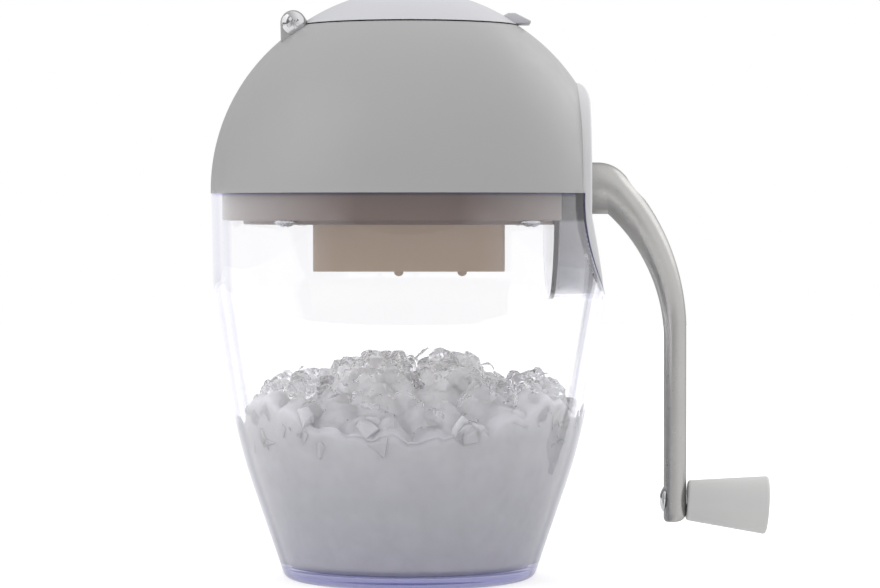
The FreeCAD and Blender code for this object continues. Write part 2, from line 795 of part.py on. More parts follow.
def bush_reliefs(owner):
    """Room in a flange for the bush flanges and the circlip, on both ends of the box."""
    return [on_shaft(f"{owner}_relief_{side}", "bush_radius + bush_flange + seat_gap", start, end)
            for side, (start, end) in enumerate((
                ("-box_length", "-box_length / 2"), ("box_length / 2", "box_length")), 1)]


def make_hopper():
    blank = join(
        "hopper_blank",
        middle_block("hopper_box", "box_length / 2", "box_width / 2",
                     ("box_seam", "hopper_neck + flange_thickness")),
        middle_block("hopper_flange", "flange_x", "flange_y", ("box_seam", "hopper_flange_top")),
        rod("hopper_cup", "Z", "hopper_radius", "hopper_neck", "hopper_top"))
    room = join(
        "hopper_room",
        middle_block("hopper_box_room", "inside_x", "inside_y", (f"box_seam - {past}", "hopper_neck")),
        rod("hopper_cup_room", "Z", "hopper_radius - flange_thickness", "hopper_neck + flange_thickness",
            f"hopper_top + {past}"),
        overlap("hopper_neck_room",
                middle_block("neck_box", "inside_x", "inside_y",
                             (f"hopper_neck - {past}", "hopper_neck + 2 * flange_thickness")),
                rod("neck_round", "Z", "hopper_radius - flange_thickness", f"hopper_neck - {past}",
                    "hopper_neck + 2 * flange_thickness")))
    shaft_way = on_shaft("hopper_bush_holes", "bush_radius", "-box_length", "box_length")
    return cut("hopper", blank, room, shaft_way, *bush_reliefs("hopper"), *small_screw_holes("hopper"))


# ---- shaft, bushes and rotor ----

def ring(name, outer, inner, start, end):
    return cut(name, on_shaft(f"{name}_outer", outer, start, end),
               on_shaft(f"{name}_inner", inner, f"({start}) - {past}", f"({end}) + {past}"))


def make_wall_bush(name, side):
    inner, wall, outer = "inside_x", "box_length / 2", "box_length / 2 + bush_flange_wall"
    ends = (wall, outer, inner) if side > 0 else (f"-({outer})", f"-({wall})", f"-({outer})")
    sleeve_end = outer if side > 0 else f"-({inner})"
    body = join(f"{name}_body",
                on_shaft(f"{name}_flange", "bush_radius + bush_flange", ends[0], ends[1]),
                on_shaft(f"{name}_sleeve", "bush_radius", ends[2], sleeve_end))
    return cut(name, body, on_shaft(f"{name}_bore", "bush_bore", "-box_length", "box_length"))


def make_shaft():
    key = doc.addObject("Part::Prism", "shaft_key")
    key.Polygon = 6
    bind(key, "Circumradius", "shaft_key_radius")
    lay(key, "X", "-key_end", "key_end", ("0", "shaft_height"))
    return cut("drive_shaft",
               join("shaft_body", on_shaft("shaft_core", "shaft_radius", "-shaft_tail", "shaft_end"), key),
               on_shaft("shaft_thread", "crank_screw_radius", "shaft_end - crank_screw_depth",
                        f"shaft_end + {past}"))


blade_shares = (0.3, 0.7, 1.3, 1.7, 2.3)


def blade_middle(share):
    return f"rib_first + {share} * rib_pitch"


def make_blade(place, share):
    """A two-armed toothed plate on the hexagonal key, one sixth of a turn on from the last."""
    tooth = [("0.31", "0.16"), ("0.21", "0.46"), ("0.28", "0.73"), ("0.06", "1"), ("-0.14", "0.84"),
             ("-0.21", "0.46"), ("-0.31", "0.16")]
    half = [(f"{y} * blade_radius", f"{z} * blade_radius") for y, z in tooth]
    other_half = [(f"-({y})", f"-({z})") for y, z in half]
    name = f"rotor_blade_{place}"
    blank = pad(f"{name}_plate", "YZ_Plane", half + other_half, "blade_thickness", symmetric=True)
    aim(blank, Vector(1, 0, 0), 60 * place, (blade_middle(share), "0", "shaft_height"))
    hole = doc.addObject("Part::Prism", f"{name}_hole")
    hole.Polygon = 6
    bind(hole, "Circumradius", "shaft_key_radius")
    lay(hole, "X", "-key_end", "key_end", ("0", "shaft_height"))
    return cut(name, blank, hole)


def make_spacers():
    faces = ["-key_end"]
    for share in blade_shares:
        middle = blade_middle(share)
        faces += [f"{middle} - blade_thickness / 2", f"{middle} + blade_thickness / 2"]
    faces.append("key_end")
    spans = list(zip(faces[::2], faces[1::2]))
    return group("rotor_spacers", *[
        ring(f"rotor_spacer_{place}", "spacer_radius", "shaft_key_radius + running_gap", start, end)
        for place, (start, end) in enumerate(spans, 1)])


# ---- crank ----

def make_crank_arm():
    side = pad("arm_side", "XZ_Plane", [
        ("hub_face + hub_step", "shaft_height"),
        ("hub_face", "hub_top"),
        ("arm_crown_x", "hub_top"),
        ("arm_joint_x", "arm_joint_z", "-arm_crown"),
        ("arm_outside_x", "arm_bend_z", "-arm_rounding"),
        ("arm_outside_x", "arm_bottom + arm_corner"),
        ("arm_outside_x - arm_corner", "arm_bottom", "-arm_corner"),
        ("arm_inside_x", "arm_bottom"),
        ("arm_inside_x", "throat_z"),
        ("throat_end_x", "hub_bottom", "throat_rounding"),
    ], "4 * hub_radius", symmetric=True)
    front = pad("arm_front", "YZ_Plane", [
        ("-arm_width / 2", "arm_bottom"),
        ("arm_width / 2", "arm_bottom"),
        ("arm_width / 2", "neck_low"),
        ("arm_width / 2 + neck_step / 2", "(neck_low + neck_high) / 2", "-neck_rounding"),
        ("hub_radius", "neck_high", "neck_rounding"),
        ("hub_radius", "shaft_height"),
        ("0", "hub_top", "hub_radius"),
        ("-hub_radius", "shaft_height", "hub_radius"),
        ("-hub_radius", "neck_high"),
        ("-arm_width / 2 - neck_step / 2", "(neck_low + neck_high) / 2", "neck_rounding"),
        ("-arm_width / 2", "neck_low", "-neck_rounding"),
    ], "arm_outside_x", offset="plate_face")
    spotface = on_grip_axis(group("arm_spotface", rod(
        "arm_spotface_rod", "X", "grip_pin_head + seat_gap", "-2 * grip_web", "-grip_web")))
    pin_hole = on_grip_axis(group("arm_pin_hole", rod(
        "arm_pin_rod", "X", "grip_pin_radius", "-2 * grip_web", "grip_web")))
    hub = on_shaft("arm_hub", "hub_radius", "hub_face", "shaft_end")
    return cut("crank_arm", join("arm_body", hub, overlap("arm_blank", side, front)),
               on_shaft("hub_bore", "shaft_radius", f"hub_face - {past}", "shaft_end"),
               on_shaft("hub_screw_hole", "crank_screw_radius", "hub_face", "arm_joint_x"),
               on_shaft("hub_recess", "crank_screw_head + seat_gap", "screw_seat", "arm_outside_x"),
               spotface, pin_hole)


def on_grip_axis(thing):
    """Set a solid that was made along X onto the grip's tilted axis."""
    aim(thing, Vector(0, 1, 0), number("grip_tilt"), ("grip_place", "0", "grip_height"))
    bind(thing, "Placement.Rotation.Angle", "grip_tilt * 1 deg")
    return thing


def make_crank_screw():
    screw = dome_head("crank_screw", "crank_screw_head", "crank_screw_head_height",
                      "crank_screw_radius", "crank_screw_web + crank_screw_depth")
    return aim(screw, Vector(0, 1, 0), -90, ("screw_seat", "0", "shaft_height"))


def make_grip():
    body = spin("grip", [
        ("0", "grip_pin_radius + running_gap"),
        ("recess_start", "grip_pin_radius + running_gap"),
        ("recess_start", "grip_recess_radius"),
        ("grip_length", "grip_recess_radius"),
        ("grip_length", "grip_big_radius"),
        ("0", "grip_small_radius"),
    ], axis="H_Axis")
    rims = [number("grip_small_radius"), number("grip_big_radius")]
    soften(body, "grip_rounding", lambda edge: is_ring(edge) and any(
        abs(edge.Curve.Radius - rim) < 0.01 for rim in rims))
    return on_grip_axis(body)


def make_grip_cap():
    return on_grip_axis(spin("grip_cap", [
        ("grip_length - grip_cap_thickness", "0"),
        ("grip_length - seat_gap", "0"),
        ("grip_length - seat_gap", "grip_recess_radius"),
        ("grip_length - grip_cap_thickness", "grip_recess_radius"),
    ], axis="H_Axis"))


def make_grip_pin():
    head, height = "grip_pin_head", "grip_pin_head_height"
    return on_grip_axis(spin("grip_pin", [
        ("retainer_start + 2 * retainer_thickness", "0"),
        ("retainer_start + 2 * retainer_thickness", "grip_pin_radius"),
        ("-grip_web", "grip_pin_radius"),
        ("-grip_web", head),
        (f"-grip_web - {brim} * {height}", head),
        (f"-grip_web - {height}", "0", crown(head, height)),
    ], axis="H_Axis"))


def make_grip_retainer():
    return on_grip_axis(spin("grip_retainer", [
        ("retainer_start", "grip_pin_radius"),
        ("retainer_start + retainer_thickness", "grip_pin_radius"),
        ("retainer_start + retainer_thickness", "grip_recess_radius - 2 * seat_gap"),
        ("retainer_start", "grip_recess_radius - 2 * seat_gap"),
    ], axis="H_Axis"))


# ---- screws ----

def make_base_screws():
    return group("base_plate_screws", *[
        aim(dome_head(f"base_plate_screw_{place}", "pan_head_radius", "pan_head_height", "pan_screw_radius",
                      "base_screw_length"), Vector(0, 0, 1), 0, (*spot, "base_height"))
        for place, spot in enumerate(corners("post_x", "post_y"), 1)])


def make_housing_screws():
    return group("housing_screws", *[
        aim(dome_head(f"housing_screw_{side}", "pan_head_radius", "pan_head_height", "pan_screw_radius",
                      "housing_screw_length"), Vector(0, 1, 0), 90, ("leg_back", y, "housing_screw_z"))
        for side, y in enumerate(("-housing_screw_y", "housing_screw_y"), 1)])


def make_box_screws():
    return group("crusher_box_screws", *[
        aim(dome_head(f"crusher_box_screw_{place}", "small_head_radius", "small_head_height",
                      "small_screw_radius", "small_screw_length"),
            Vector(1, 0, 0), 180, (*spot, "hopper_flange_top"))
        for place, spot in enumerate(corners("small_screw_x", "small_screw_y"), 1)])


pieces = [
    make_jar(),
    make_crushed_ice(),
    make_dome(),
    make_crank_plate(),
    make_crank_housing(),
    make_base_plate(),
    make_chute(),
    make_hopper(),
    make_wall_bush("far_bush", -1),
    make_wall_bush("near_bush", 1),
    ring("crank_bush", "crank_bush_radius", "bush_bore", "leg_back", "plate_face"),
    make_base_screws(),
    make_housing_screws(),
    make_box_screws(),
    make_hinge_pin(),
    make_hinge_cap(),
    make_lid(),
    make_shaft(),
    *[make_blade(place, share) for place, share in enumerate(blade_shares, 1)],
    make_spacers(),
    ring("shaft_circlip", "circlip_radius", "shaft_radius", "-circlip_place - circlip_thickness",
         "-circlip_place"),
    make_crank_arm(),
    make_crank_screw(),
    make_grip_pin(),
    make_grip_retainer(),
    make_grip(),
    make_grip_cap(),
]

doc.recompute()
faults = [thing.Label for thing in doc.Objects if {"Invalid", "Error"} & set(thing.State)]
faults += [piece.Label for piece in pieces if piece.Shape.isNull() or not piece.Shape.isValid()]
if faults:
    raise RuntimeError("failed: " + ", ".join(sorted(set(faults))))
for piece in pieces:
    piece.Shape.exportStep(f"parts/{piece.Label}.step")
    print(f"{piece.Label:20} {len(piece.Shape.Solids)} solids  {piece.Shape.Volume / 1000:8.2f} cm3")
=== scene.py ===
import bmesh
import bpy
import json
import math
import random
from mathutils import Matrix, Vector, noise

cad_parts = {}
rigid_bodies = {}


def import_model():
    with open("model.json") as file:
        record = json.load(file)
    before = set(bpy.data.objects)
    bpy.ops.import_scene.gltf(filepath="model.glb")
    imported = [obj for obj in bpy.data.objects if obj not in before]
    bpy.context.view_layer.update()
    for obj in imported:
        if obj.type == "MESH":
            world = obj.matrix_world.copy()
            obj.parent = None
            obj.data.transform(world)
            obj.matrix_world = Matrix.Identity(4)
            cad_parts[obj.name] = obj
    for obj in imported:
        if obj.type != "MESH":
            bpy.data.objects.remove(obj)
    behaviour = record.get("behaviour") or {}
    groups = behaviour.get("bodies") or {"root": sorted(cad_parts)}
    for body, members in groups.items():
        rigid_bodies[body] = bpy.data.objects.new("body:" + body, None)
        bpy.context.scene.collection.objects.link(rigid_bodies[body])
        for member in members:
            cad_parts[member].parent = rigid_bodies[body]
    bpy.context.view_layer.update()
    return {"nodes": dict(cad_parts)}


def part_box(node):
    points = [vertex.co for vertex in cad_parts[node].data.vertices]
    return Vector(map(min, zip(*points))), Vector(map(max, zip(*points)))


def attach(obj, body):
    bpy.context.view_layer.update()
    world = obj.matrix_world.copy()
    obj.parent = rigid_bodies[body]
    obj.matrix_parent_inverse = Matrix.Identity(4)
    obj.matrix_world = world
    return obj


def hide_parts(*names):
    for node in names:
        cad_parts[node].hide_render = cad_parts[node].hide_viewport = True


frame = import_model()
nodes = frame["nodes"]
mm = 0.001
past = 1.2  # cutters reach past what they cut
scene = bpy.context.scene


# small tools for outlines and meshes

def place(x, y, z):
    return Vector((x, y, z)) * mm


def nodeBox(name):  # a node's corners in millimetres
    low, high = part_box(name)
    return low / mm, high / mm


def arc(x, y, radius, start, end, steps):  # points on a circle between two angles in degrees
    angles = [math.radians(start + (end - start) * k / steps) for k in range(steps + 1)]
    return [Vector((x + radius * math.cos(a), y + radius * math.sin(a))) for a in angles]


def between(line, where):  # the second value at a place along the first
    for low, high in zip(line, line[1:]):
        if low.x <= where <= high.x and high.x > low.x:
            return low.y + (high.y - low.y) * (where - low.x) / (high.x - low.x)
    return line[0].y if where < line[0].x else line[-1].y


def arcTo(start, end, radius, steps):  # points after start; a positive radius turns left
    start, end = Vector(start), Vector(end)
    chord = end - start
    across = Vector((-chord.y, chord.x)).normalized() * math.copysign(1, radius)
    centre = (start + end) / 2 + across * math.sqrt(max(radius ** 2 - chord.length ** 2 / 4, 0))
    first = math.atan2(*(start - centre).yx)
    turn = math.atan2(*(end - centre).yx) - first
    turn = turn % math.tau if radius > 0 else -((-turn) % math.tau)
    angles = [first + turn * k / steps for k in range(1, steps + 1)]
    return [centre + Vector((math.cos(a), math.sin(a))) * abs(radius) for a in angles]


def newObject(name, mesh):
    piece = bpy.data.objects.new(name, mesh)
    scene.collection.objects.link(piece)
    return piece


def meshObject(name, points, faces):
    mesh = bpy.data.meshes.new(name)
    mesh.from_pydata([tuple(p) for p in points], [], faces)
    return newObject(name, mesh)


def tidyMesh(piece, merge=1e-6):  # joins doubles and turns every face outwards
    work = bmesh.new()
    work.from_mesh(piece.data)
    bmesh.ops.remove_doubles(work, verts=work.verts, dist=merge)
    bmesh.ops.recalc_face_normals(work, faces=work.faces)
    work.to_mesh(piece.data)
    work.free()
    return piece


def settle(piece):  # modifiers become plain mesh
    graph = bpy.context.evaluated_depsgraph_get()
    old = piece.data
    piece.data = bpy.data.meshes.new_from_object(piece.evaluated_get(graph))
    piece.modifiers.clear()
    bpy.data.meshes.remove(old)
    return piece


def carve(piece, cutter, kind="DIFFERENCE"):  # one boolean, applied, and the cutter goes
    step = piece.modifiers.new("carve", "BOOLEAN")
    step.operation = kind
    step.solver = "EXACT"
    step.object = cutter
    settle(piece)
    bpy.data.objects.remove(cutter)
    return piece


def bandFaces(rings, count):  # four-sided faces between neighbouring rings of points
    return [[row + k, row + k + count, row + (k + 1) % count + count, row + (k + 1) % count]
            for row in range(0, (rings - 1) * count, count) for k in range(count)]


def skinned(name, rings, merge=1e-6):  # a closed body through rings of points
    count = len(rings[0])
    last = (len(rings) - 1) * count
    faces = [list(range(count)), list(range(last + count - 1, last - 1, -1))]
    points = [p for ring in rings for p in ring]
    return tidyMesh(meshObject(name, points, faces + bandFaces(len(rings), count)), merge)


def extruded(name, outline, start, end):  # an outline in (x, z) drawn out along y
    return skinned(name, [[place(x, y, z) for x, z in outline] for y in (start, end)])


def prism(name, outline, start, end):  # an outline in (y, z) drawn out along x
    return skinned(name, [[place(x, y, z) for y, z in outline] for x in (start, end)])


def roundedRectangle(halfX, halfY, corner, steps):
    ring = []
    for sideX, sideY, start in ((1, 1, 0), (-1, 1, 90), (-1, -1, 180), (1, -1, 270)):
        middle = (sideX * (halfX - corner), sideY * (halfY - corner))
        ring += arc(*middle, corner, start, start + 90, steps)
    return ring


def softEdges(piece, width, segments=3, angle=50, crease=35):  # rounds the edges past an angle
    step = piece.modifiers.new("soft edges", "BEVEL")
    step.width = width * mm
    step.segments = segments
    step.limit_method = "ANGLE"
    step.angle_limit = math.radians(angle)
    step.harden_normals = True
    return smooth(settle(piece), crease)


def smooth(piece, angle=35):  # smooth faces with sharp edges kept sharp
    piece.data.shade_smooth()
    piece.data.set_sharp_from_angle(angle=math.radians(angle))
    return piece


def joined(name, *pieces):
    work = bmesh.new()
    for piece in pieces:
        work.from_mesh(piece.data)
        bpy.data.objects.remove(piece)
    mesh = bpy.data.meshes.new(name)
    work.to_mesh(mesh)
    work.free()
    return newObject(name, mesh)


def at(x, y, z, degrees=0, axis="Y"):  # a place in millimetres with a turn about one axis
    return Matrix.Translation(place(x, y, z)) @ Matrix.Rotation(math.radians(degrees), 4, axis)


def move(piece, matrix):
    piece.data.transform(matrix)
    if matrix.determinant() < 0:
        piece.data.flip_normals()
    return piece


def dress(piece, finish, body, slot, *replaced):
    piece.data.materials.clear()
    piece.data.materials.append(finishes[finish])
    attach(piece, body)
    if replaced:
        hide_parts(*replaced)
    return piece


# node trees

def tree(name, inputs):  # a new tree and the sockets of its inputs
    made = bpy.data.node_groups.new(name, "GeometryNodeTree")
    made.interface.new_socket("Geometry", in_out="INPUT", socket_type="NodeSocketGeometry")
    for label, kind, value in [*inputs, ("Finish", "Material", None)]:
        socket = made.interface.new_socket(label, in_out="INPUT", socket_type="NodeSocket" + kind)
        if value is not None:
            socket.default_value = value
    made.interface.new_socket("Geometry", in_out="OUTPUT", socket_type="NodeSocketGeometry")
    return made, made.nodes.new("NodeGroupInput").outputs


# adds a node, of the shader family unless its kind says which; links holds nodes, sockets and plain values
def add(made, kind, links=None, **settings):
    node = made.nodes.new(kind if "Node" in kind else "ShaderNode" + kind)
    for name, value in settings.items():
        setattr(node, name, value)
    for socket, source in (links or {}).items():
        if isinstance(source, bpy.types.Node):
            source = source.outputs[0]
        if isinstance(source, bpy.types.NodeSocket):
            made.links.new(source, node.inputs[socket])
        else:
            node.inputs[socket].default_value = source
    return node


def calc(made, operation, *values):
    return add(made, "Math", dict(enumerate(values)), operation=operation).outputs[0]


def fold(made, operation, *values):  # the same sum on one value after another
    total = values[0]
    for value in values[1:]:
        total = calc(made, operation, total, value)
    return total


def split(made, vector):
    return add(made, "SeparateXYZ", {0: vector}).outputs


def finishTree(made, entry, pieces):  # instances become mesh, and the mesh takes its finish
    whole = add(made, "GeometryNodeRealizeInstances", {"Geometry": pieces})
    painted = add(made, "GeometryNodeSetMaterial", {
        "Geometry": whole, "Material": entry["Finish"]})
    made.links.new(painted.outputs[0], made.nodes.new("NodeGroupOutput").inputs[0])
    return made


def grown(piece, made, **values):  # runs a tree on a piece and keeps the plain mesh
    step = piece.modifiers.new(made.name, "NODES")
    step.node_group = made
    for item in made.interface.items_tree:
        if item.in_out == "INPUT" and item.name in values:
            step[item.identifier] = values[item.name]
    return settle(piece)


def makeLatheTree():
    made, entry = tree("lathe", [("Steps", "Int", 180), ("Rows", "Int", 2)])
    columns = calc(made, "ADD", entry["Steps"], 1)
    grid = add(made, "GeometryNodeMeshGrid", {"Vertices X": columns, "Vertices Y": entry["Rows"]})
    index = add(made, "GeometryNodeInputIndex").outputs[0]
    column = calc(made, "FLOOR", calc(made, "DIVIDE", calc(made, "ADD", index, 0.5), entry["Rows"]))
    row = calc(made, "SUBTRACT", index, calc(made, "MULTIPLY", column, entry["Rows"]))
    spot = add(made, "GeometryNodeSampleIndex", {
        "Geometry": entry["Geometry"], "Value": add(made, "GeometryNodeInputPosition").outputs[0],
        "Index": row}, data_type="FLOAT_VECTOR")
    radius, _, height = split(made, spot.outputs["Value"])
    angle = calc(made, "MULTIPLY", calc(made, "DIVIDE", column, entry["Steps"]), math.tau)
    point = add(made, "CombineXYZ", {
        0: calc(made, "MULTIPLY", radius, calc(made, "COSINE", angle)),
        1: calc(made, "MULTIPLY", radius, calc(made, "SINE", angle)), 2: height})
    placed = add(made, "GeometryNodeSetPosition", {
        "Geometry": grid.outputs["Mesh"], "Position": point})
    closed = add(made, "GeometryNodeMergeByDistance", {"Geometry": placed, "Distance": 1e-6})
    return finishTree(made, entry, closed)


latheTree = makeLatheTree()


def turnedPiece(name, outline, steps):  # outline in (radius, height), millimetres, closed on itself
    points = [Vector((p.x * mm, 0, p.y * mm)) for p in map(Vector, outline)]
    points.append(points[0])
    piece = meshObject(name, points, [])
    grown(piece, latheTree, Steps=steps, Rows=len(points))
    return tidyMesh(piece)


def cylinder(name, radius, low, high, steps, bore=0):
    return turnedPiece(name, [(bore, low), (radius, low), (radius, high), (bore, high)], steps)


def makeCornerTree():  # four copies of a small piece on the corners of a rectangle
    made, entry = tree("four corners", [
        ("Spread X", "Float", 0.1), ("Spread Y", "Float", 0.1), ("Seed", "Int", 3)])
    corners = add(made, "GeometryNodeMeshGrid", {
        "Size X": entry["Spread X"], "Size Y": entry["Spread Y"], "Vertices X": 2, "Vertices Y": 2})
    spin = add(made, "FunctionNodeRandomValue", {3: math.tau, "Seed": entry["Seed"]}, data_type="FLOAT")
    turn = add(made, "CombineXYZ", {2: spin.outputs[1]})
    copies = add(made, "GeometryNodeInstanceOnPoints", {
        "Points": corners.outputs["Mesh"], "Instance": entry["Geometry"], "Rotation": turn})
    return finishTree(made, entry, copies)


cornerTree = makeCornerTree()


# the jar's sizes

jarSizes = {
    "bellyRadius": 72.1, "bellyHeight": 57.0, "bellyRounding": 220.0,
    "shoulderStep": 0.8, "shoulderHeight": 121.0, "shoulderRounding": 60.0,
    "footRadius": 52.4, "footRounding": 4.0, "wall": 4.0, "floor": 5.0,
    "pocketRadius": 41.4, "pocketDrop": 1.0, "pocketBack": 60.2, "pocketWall": 2.0,
    "notchRadius": 7.0, "notchDepth": 8.0, "notchStart": 6.0, "cutDepth": 0.9, "cutLap": 0.3, "cutLine": 1.7,
    "roomTop": 1.1, "sideSteps": 14, "steps": 240,
}
_, jarRim, jarTop = nodeBox("jar")[1]
shaftHeight = sum(corner.z for corner in nodeBox("drive_shaft")) / 2


# finishes

def shaderTree(name):
    material = bpy.data.materials.new(name)
    material.use_nodes = True
    made = material.node_tree
    made.nodes.clear()
    return material, made


def surface(material, shader, **more):
    add(material.node_tree, "OutputMaterial", {"Surface": shader, **more})
    return material


def blend(made, share, first, second):
    return add(made, "MixShader", {0: share, 1: first, 2: second})


def objectSpot(made):
    return add(made, "TexCoord").outputs["Object"]


def spotNoise(made, scale, detail=2.0):
    return add(made, "TexNoise", {"Vector": objectSpot(made), "Scale": scale, "Detail": detail}).outputs[0]


def ranged(made, value, low, high, start=0.3, end=0.7):
    return add(made, "MapRange", {
        "Value": value, "From Min": start, "From Max": end, "To Min": low, "To Max": high}).outputs[0]


def mixed(made, share, first, second, **settings):  # one colour running into another
    pair = {k: (*c, 1) if isinstance(c, tuple) else c for k, c in ((6, first), (7, second))}
    return add(made, "Mix", {"Factor": share, **pair}, data_type="RGBA", **settings).outputs[2]


def tinted(made, value, colour, change):  # a colour that drifts a little between two tones
    darker, lighter = [tuple(min(c * (1 + way * change), 1) for c in colour) for way in (-1, 1)]
    return mixed(made, value, darker, lighter)


def drifting(made, value, colour):
    return add(made, "HueSaturation", {"Value": value, "Color": colour}).outputs[0]


def bumped(made, height, strength, depth):
    return add(made, "Bump", {"Strength": strength, "Distance": depth * mm, "Height": height})


def heightTint(made, stops):  # a colour by height over the foot, stops of (millimetres, colour)
    top = stops[-1][0]
    share = calc(made, "DIVIDE", split(made, objectSpot(made))[2], top * mm)
    ramp = add(made, "ValToRGB", {"Fac": share})
    while len(ramp.color_ramp.elements) < len(stops):
        ramp.color_ramp.elements.new(1.0)
    for element, (level, colour) in zip(ramp.color_ramp.elements, stops):
        element.position = level / top
        element.color = (*colour, 1)
    return ramp.outputs["Color"]


def linear(red, green, blue):  # from screen values of 0 to 255
    return tuple((v / 255 / 12.92) if v < 11 else ((v / 255 + 0.055) / 1.055) ** 2.4
                 for v in (red, green, blue))


def plasticSkin(made, colour, roughness, grain=2600, depth=0.03, rub=140, strength=0.35):
    return add(made, "BsdfPrincipled", {
        "Base Color": colour, "IOR": 1.5,
        "Roughness": ranged(made, spotNoise(made, rub, 4), roughness - 0.05, roughness + 0.05),
        "Normal": bumped(made, spotNoise(made, grain), strength, depth)})


def mouldedPlastic(name, colour, roughness, grain=2600, depth=0.03):
    material, made = shaderTree(name)
    tone = tinted(made, spotNoise(made, 22, 3), colour, 0.02)
    return surface(material, plasticSkin(made, tone, roughness, grain, depth))


def milkyPlasticPaintedShade(name, middle, ends, reach):  # thin and milky, with painted shade in its middle and lighter towards its ends
    material, made = shaderTree(name)
    aside = calc(made, "ABSOLUTE", split(made, objectSpot(made))[0])
    # painted shade: darker in the middle, lighter towards the ends along x
    tone = mixed(made, ranged(made, aside, 0, 1, *reach), middle, ends)
    tone = drifting(made, ranged(made, spotNoise(made, 30, 3), 0.96, 1.04), tone)
    skin = plasticSkin(made, tone, 0.45, 1800, rub=120, strength=0.3)
    glow = add(made, "BsdfTranslucent", {"Color": tone})
    return surface(material, blend(made, 0.3, skin, glow))


def metal(name, colour, roughness, scratch, depth=0.02, spread=0.06, edge=1.0):
    material, made = shaderTree(name)
    stretch = add(made, "Mapping", {"Vector": objectSpot(made), "Scale": scratch})
    lines = add(made, "TexNoise", {"Vector": stretch, "Scale": 1.0, "Detail": 3.0}).outputs["Fac"]
    return surface(material, add(made, "BsdfPrincipled", {
        "Base Color": tinted(made, spotNoise(made, 60, 3), colour, 0.04), "Metallic": 1.0,
        "Roughness": ranged(made, lines, roughness - spread, roughness + spread),
        "Normal": bumped(made, lines, 0.3, depth), "Specular Tint": (edge, edge, edge, 1)}))


def housingPlasticPaintedShade(name):  # painted shade: darker where the dome covers it; painted light: lighter towards the foot of the leg
    material, made = shaderTree(name)
    patches = ranged(made, spotNoise(made, 60, 3), 0.95, 1.05)
    return surface(material, plasticSkin(made, drifting(made, patches, heightTint(made, housingPaintedLightAndShade)), 0.45))


# painted light and shade by height: a dark band under the dome beside the base plate, lighter towards the
# foot
housingPaintedLightAndShade = [
    (118, linear(198, 199, 204)), (126, linear(170, 171, 176)), (140, linear(138, 138, 142)),
    (149.4, linear(142, 142, 145)), (150.4, linear(45, 43, 47)), (161, linear(47, 45, 49)),
    (200, linear(150, 150, 154)),
]


def distance(made, *sides):
    squares = [calc(made, "POWER", side, 2.0) for side in sides]
    return calc(made, "SQRT", calc(made, "ADD", *squares))


def cutEdge(made):  # where the pocket is cut through the outer wall, and the outermost line of that cut, which gets a painted dark line
    s = jarSizes
    x, y, z = split(made, objectSpot(made))
    reach = distance(made, y, calc(made, "SUBTRACT", z, (jarTop - s["pocketDrop"]) * mm))
    around = distance(made, x, y)
    onRight = calc(made, "GREATER_THAN", x, 0.0)
    inWall = calc(made, "GREATER_THAN", around, (jarRim - s["wall"] - s["cutDepth"]) * mm)
    onArch = calc(made, "COMPARE", reach, s["pocketRadius"] * mm, s["cutLap"] * mm)
    onCut = fold(made, "MULTIPLY", onRight, inWall, onArch)
    outermost = calc(made, "GREATER_THAN", around, (jarRim - s["cutLine"]) * mm)
    return onCut, calc(made, "MULTIPLY", onCut, outermost)


def clearPlastic(name):
    material, made = shaderTree(name)
    facing = add(made, "LayerWeight", {"Blend": 0.5}).outputs["Facing"]
    tint = mixed(made, ranged(made, facing, 0.0, 1.0, 0.67, 0.74), heightTint(made, clearTints),
                 heightTint(made, edgeTintsAndShade), blend_type="MULTIPLY")  # the wall seen edge on is lavender, and darker low down as painted shade
    skin = add(made, "BsdfPrincipled", {
        "Base Color": tint, "Roughness": 0.0, "IOR": 1.49, "Transmission Weight": 1.0,
        "Normal": bumped(made, spotNoise(made, 40, 1), 0.1, 0.05)})
    rays = add(made, "LightPath").outputs
    deep = calc(made, "GREATER_THAN", rays["Transmission Depth"], mostPasses)
    mirrored = calc(made, "GREATER_THAN", rays["Glossy Depth"], mostMirrors)
    onCut, paintedCutShade = cutEdge(made)
    # painted shade: a dark violet line on the cut's outermost edge stands in for the dark refraction there
    plain = mixed(made, paintedCutShade, (0.98, 0.98, 0.99), (0.26, 0.24, 0.44))
    straight = add(made, "BsdfTransparent", {"Color": plain})
    way = fold(made, "MAXIMUM", rays["Is Shadow Ray"], rays["Is Diffuse Ray"], deep, mirrored, onCut)
    depth = add(made, "VolumeAbsorption", {"Color": (0.4, 0.4, 0.85, 1), "Density": 4.5})
    return surface(material, blend(made, way, skin, straight), Volume=depth)


mostPasses, mostMirrors = 6.5, 2.5  # rays that are bent or mirrored more often go straight on


clearTints = [  # the thick foot and the rim's edge gather a violet tint
    (0, (0.1, 0.1, 0.25)), (5, (0.15, 0.15, 0.34)), (9, (0.9, 0.9, 0.98)), (60, (0.985, 0.985, 1)),
    (90, (1, 1, 1)), (159.8, (1, 1, 1)), (160.6, (0.6, 0.58, 0.85)), (161.2, (0.5, 0.48, 0.8)),
]

# lavender edge tint, with painted shade: darker low down, where the wall shows the bright floor
edgeTintsAndShade = [(0, (0.36, 0.355, 0.47)), (112, (0.4, 0.395, 0.5)), (132, (0.68, 0.67, 0.8)),
             (162, (0.7, 0.69, 0.82))]

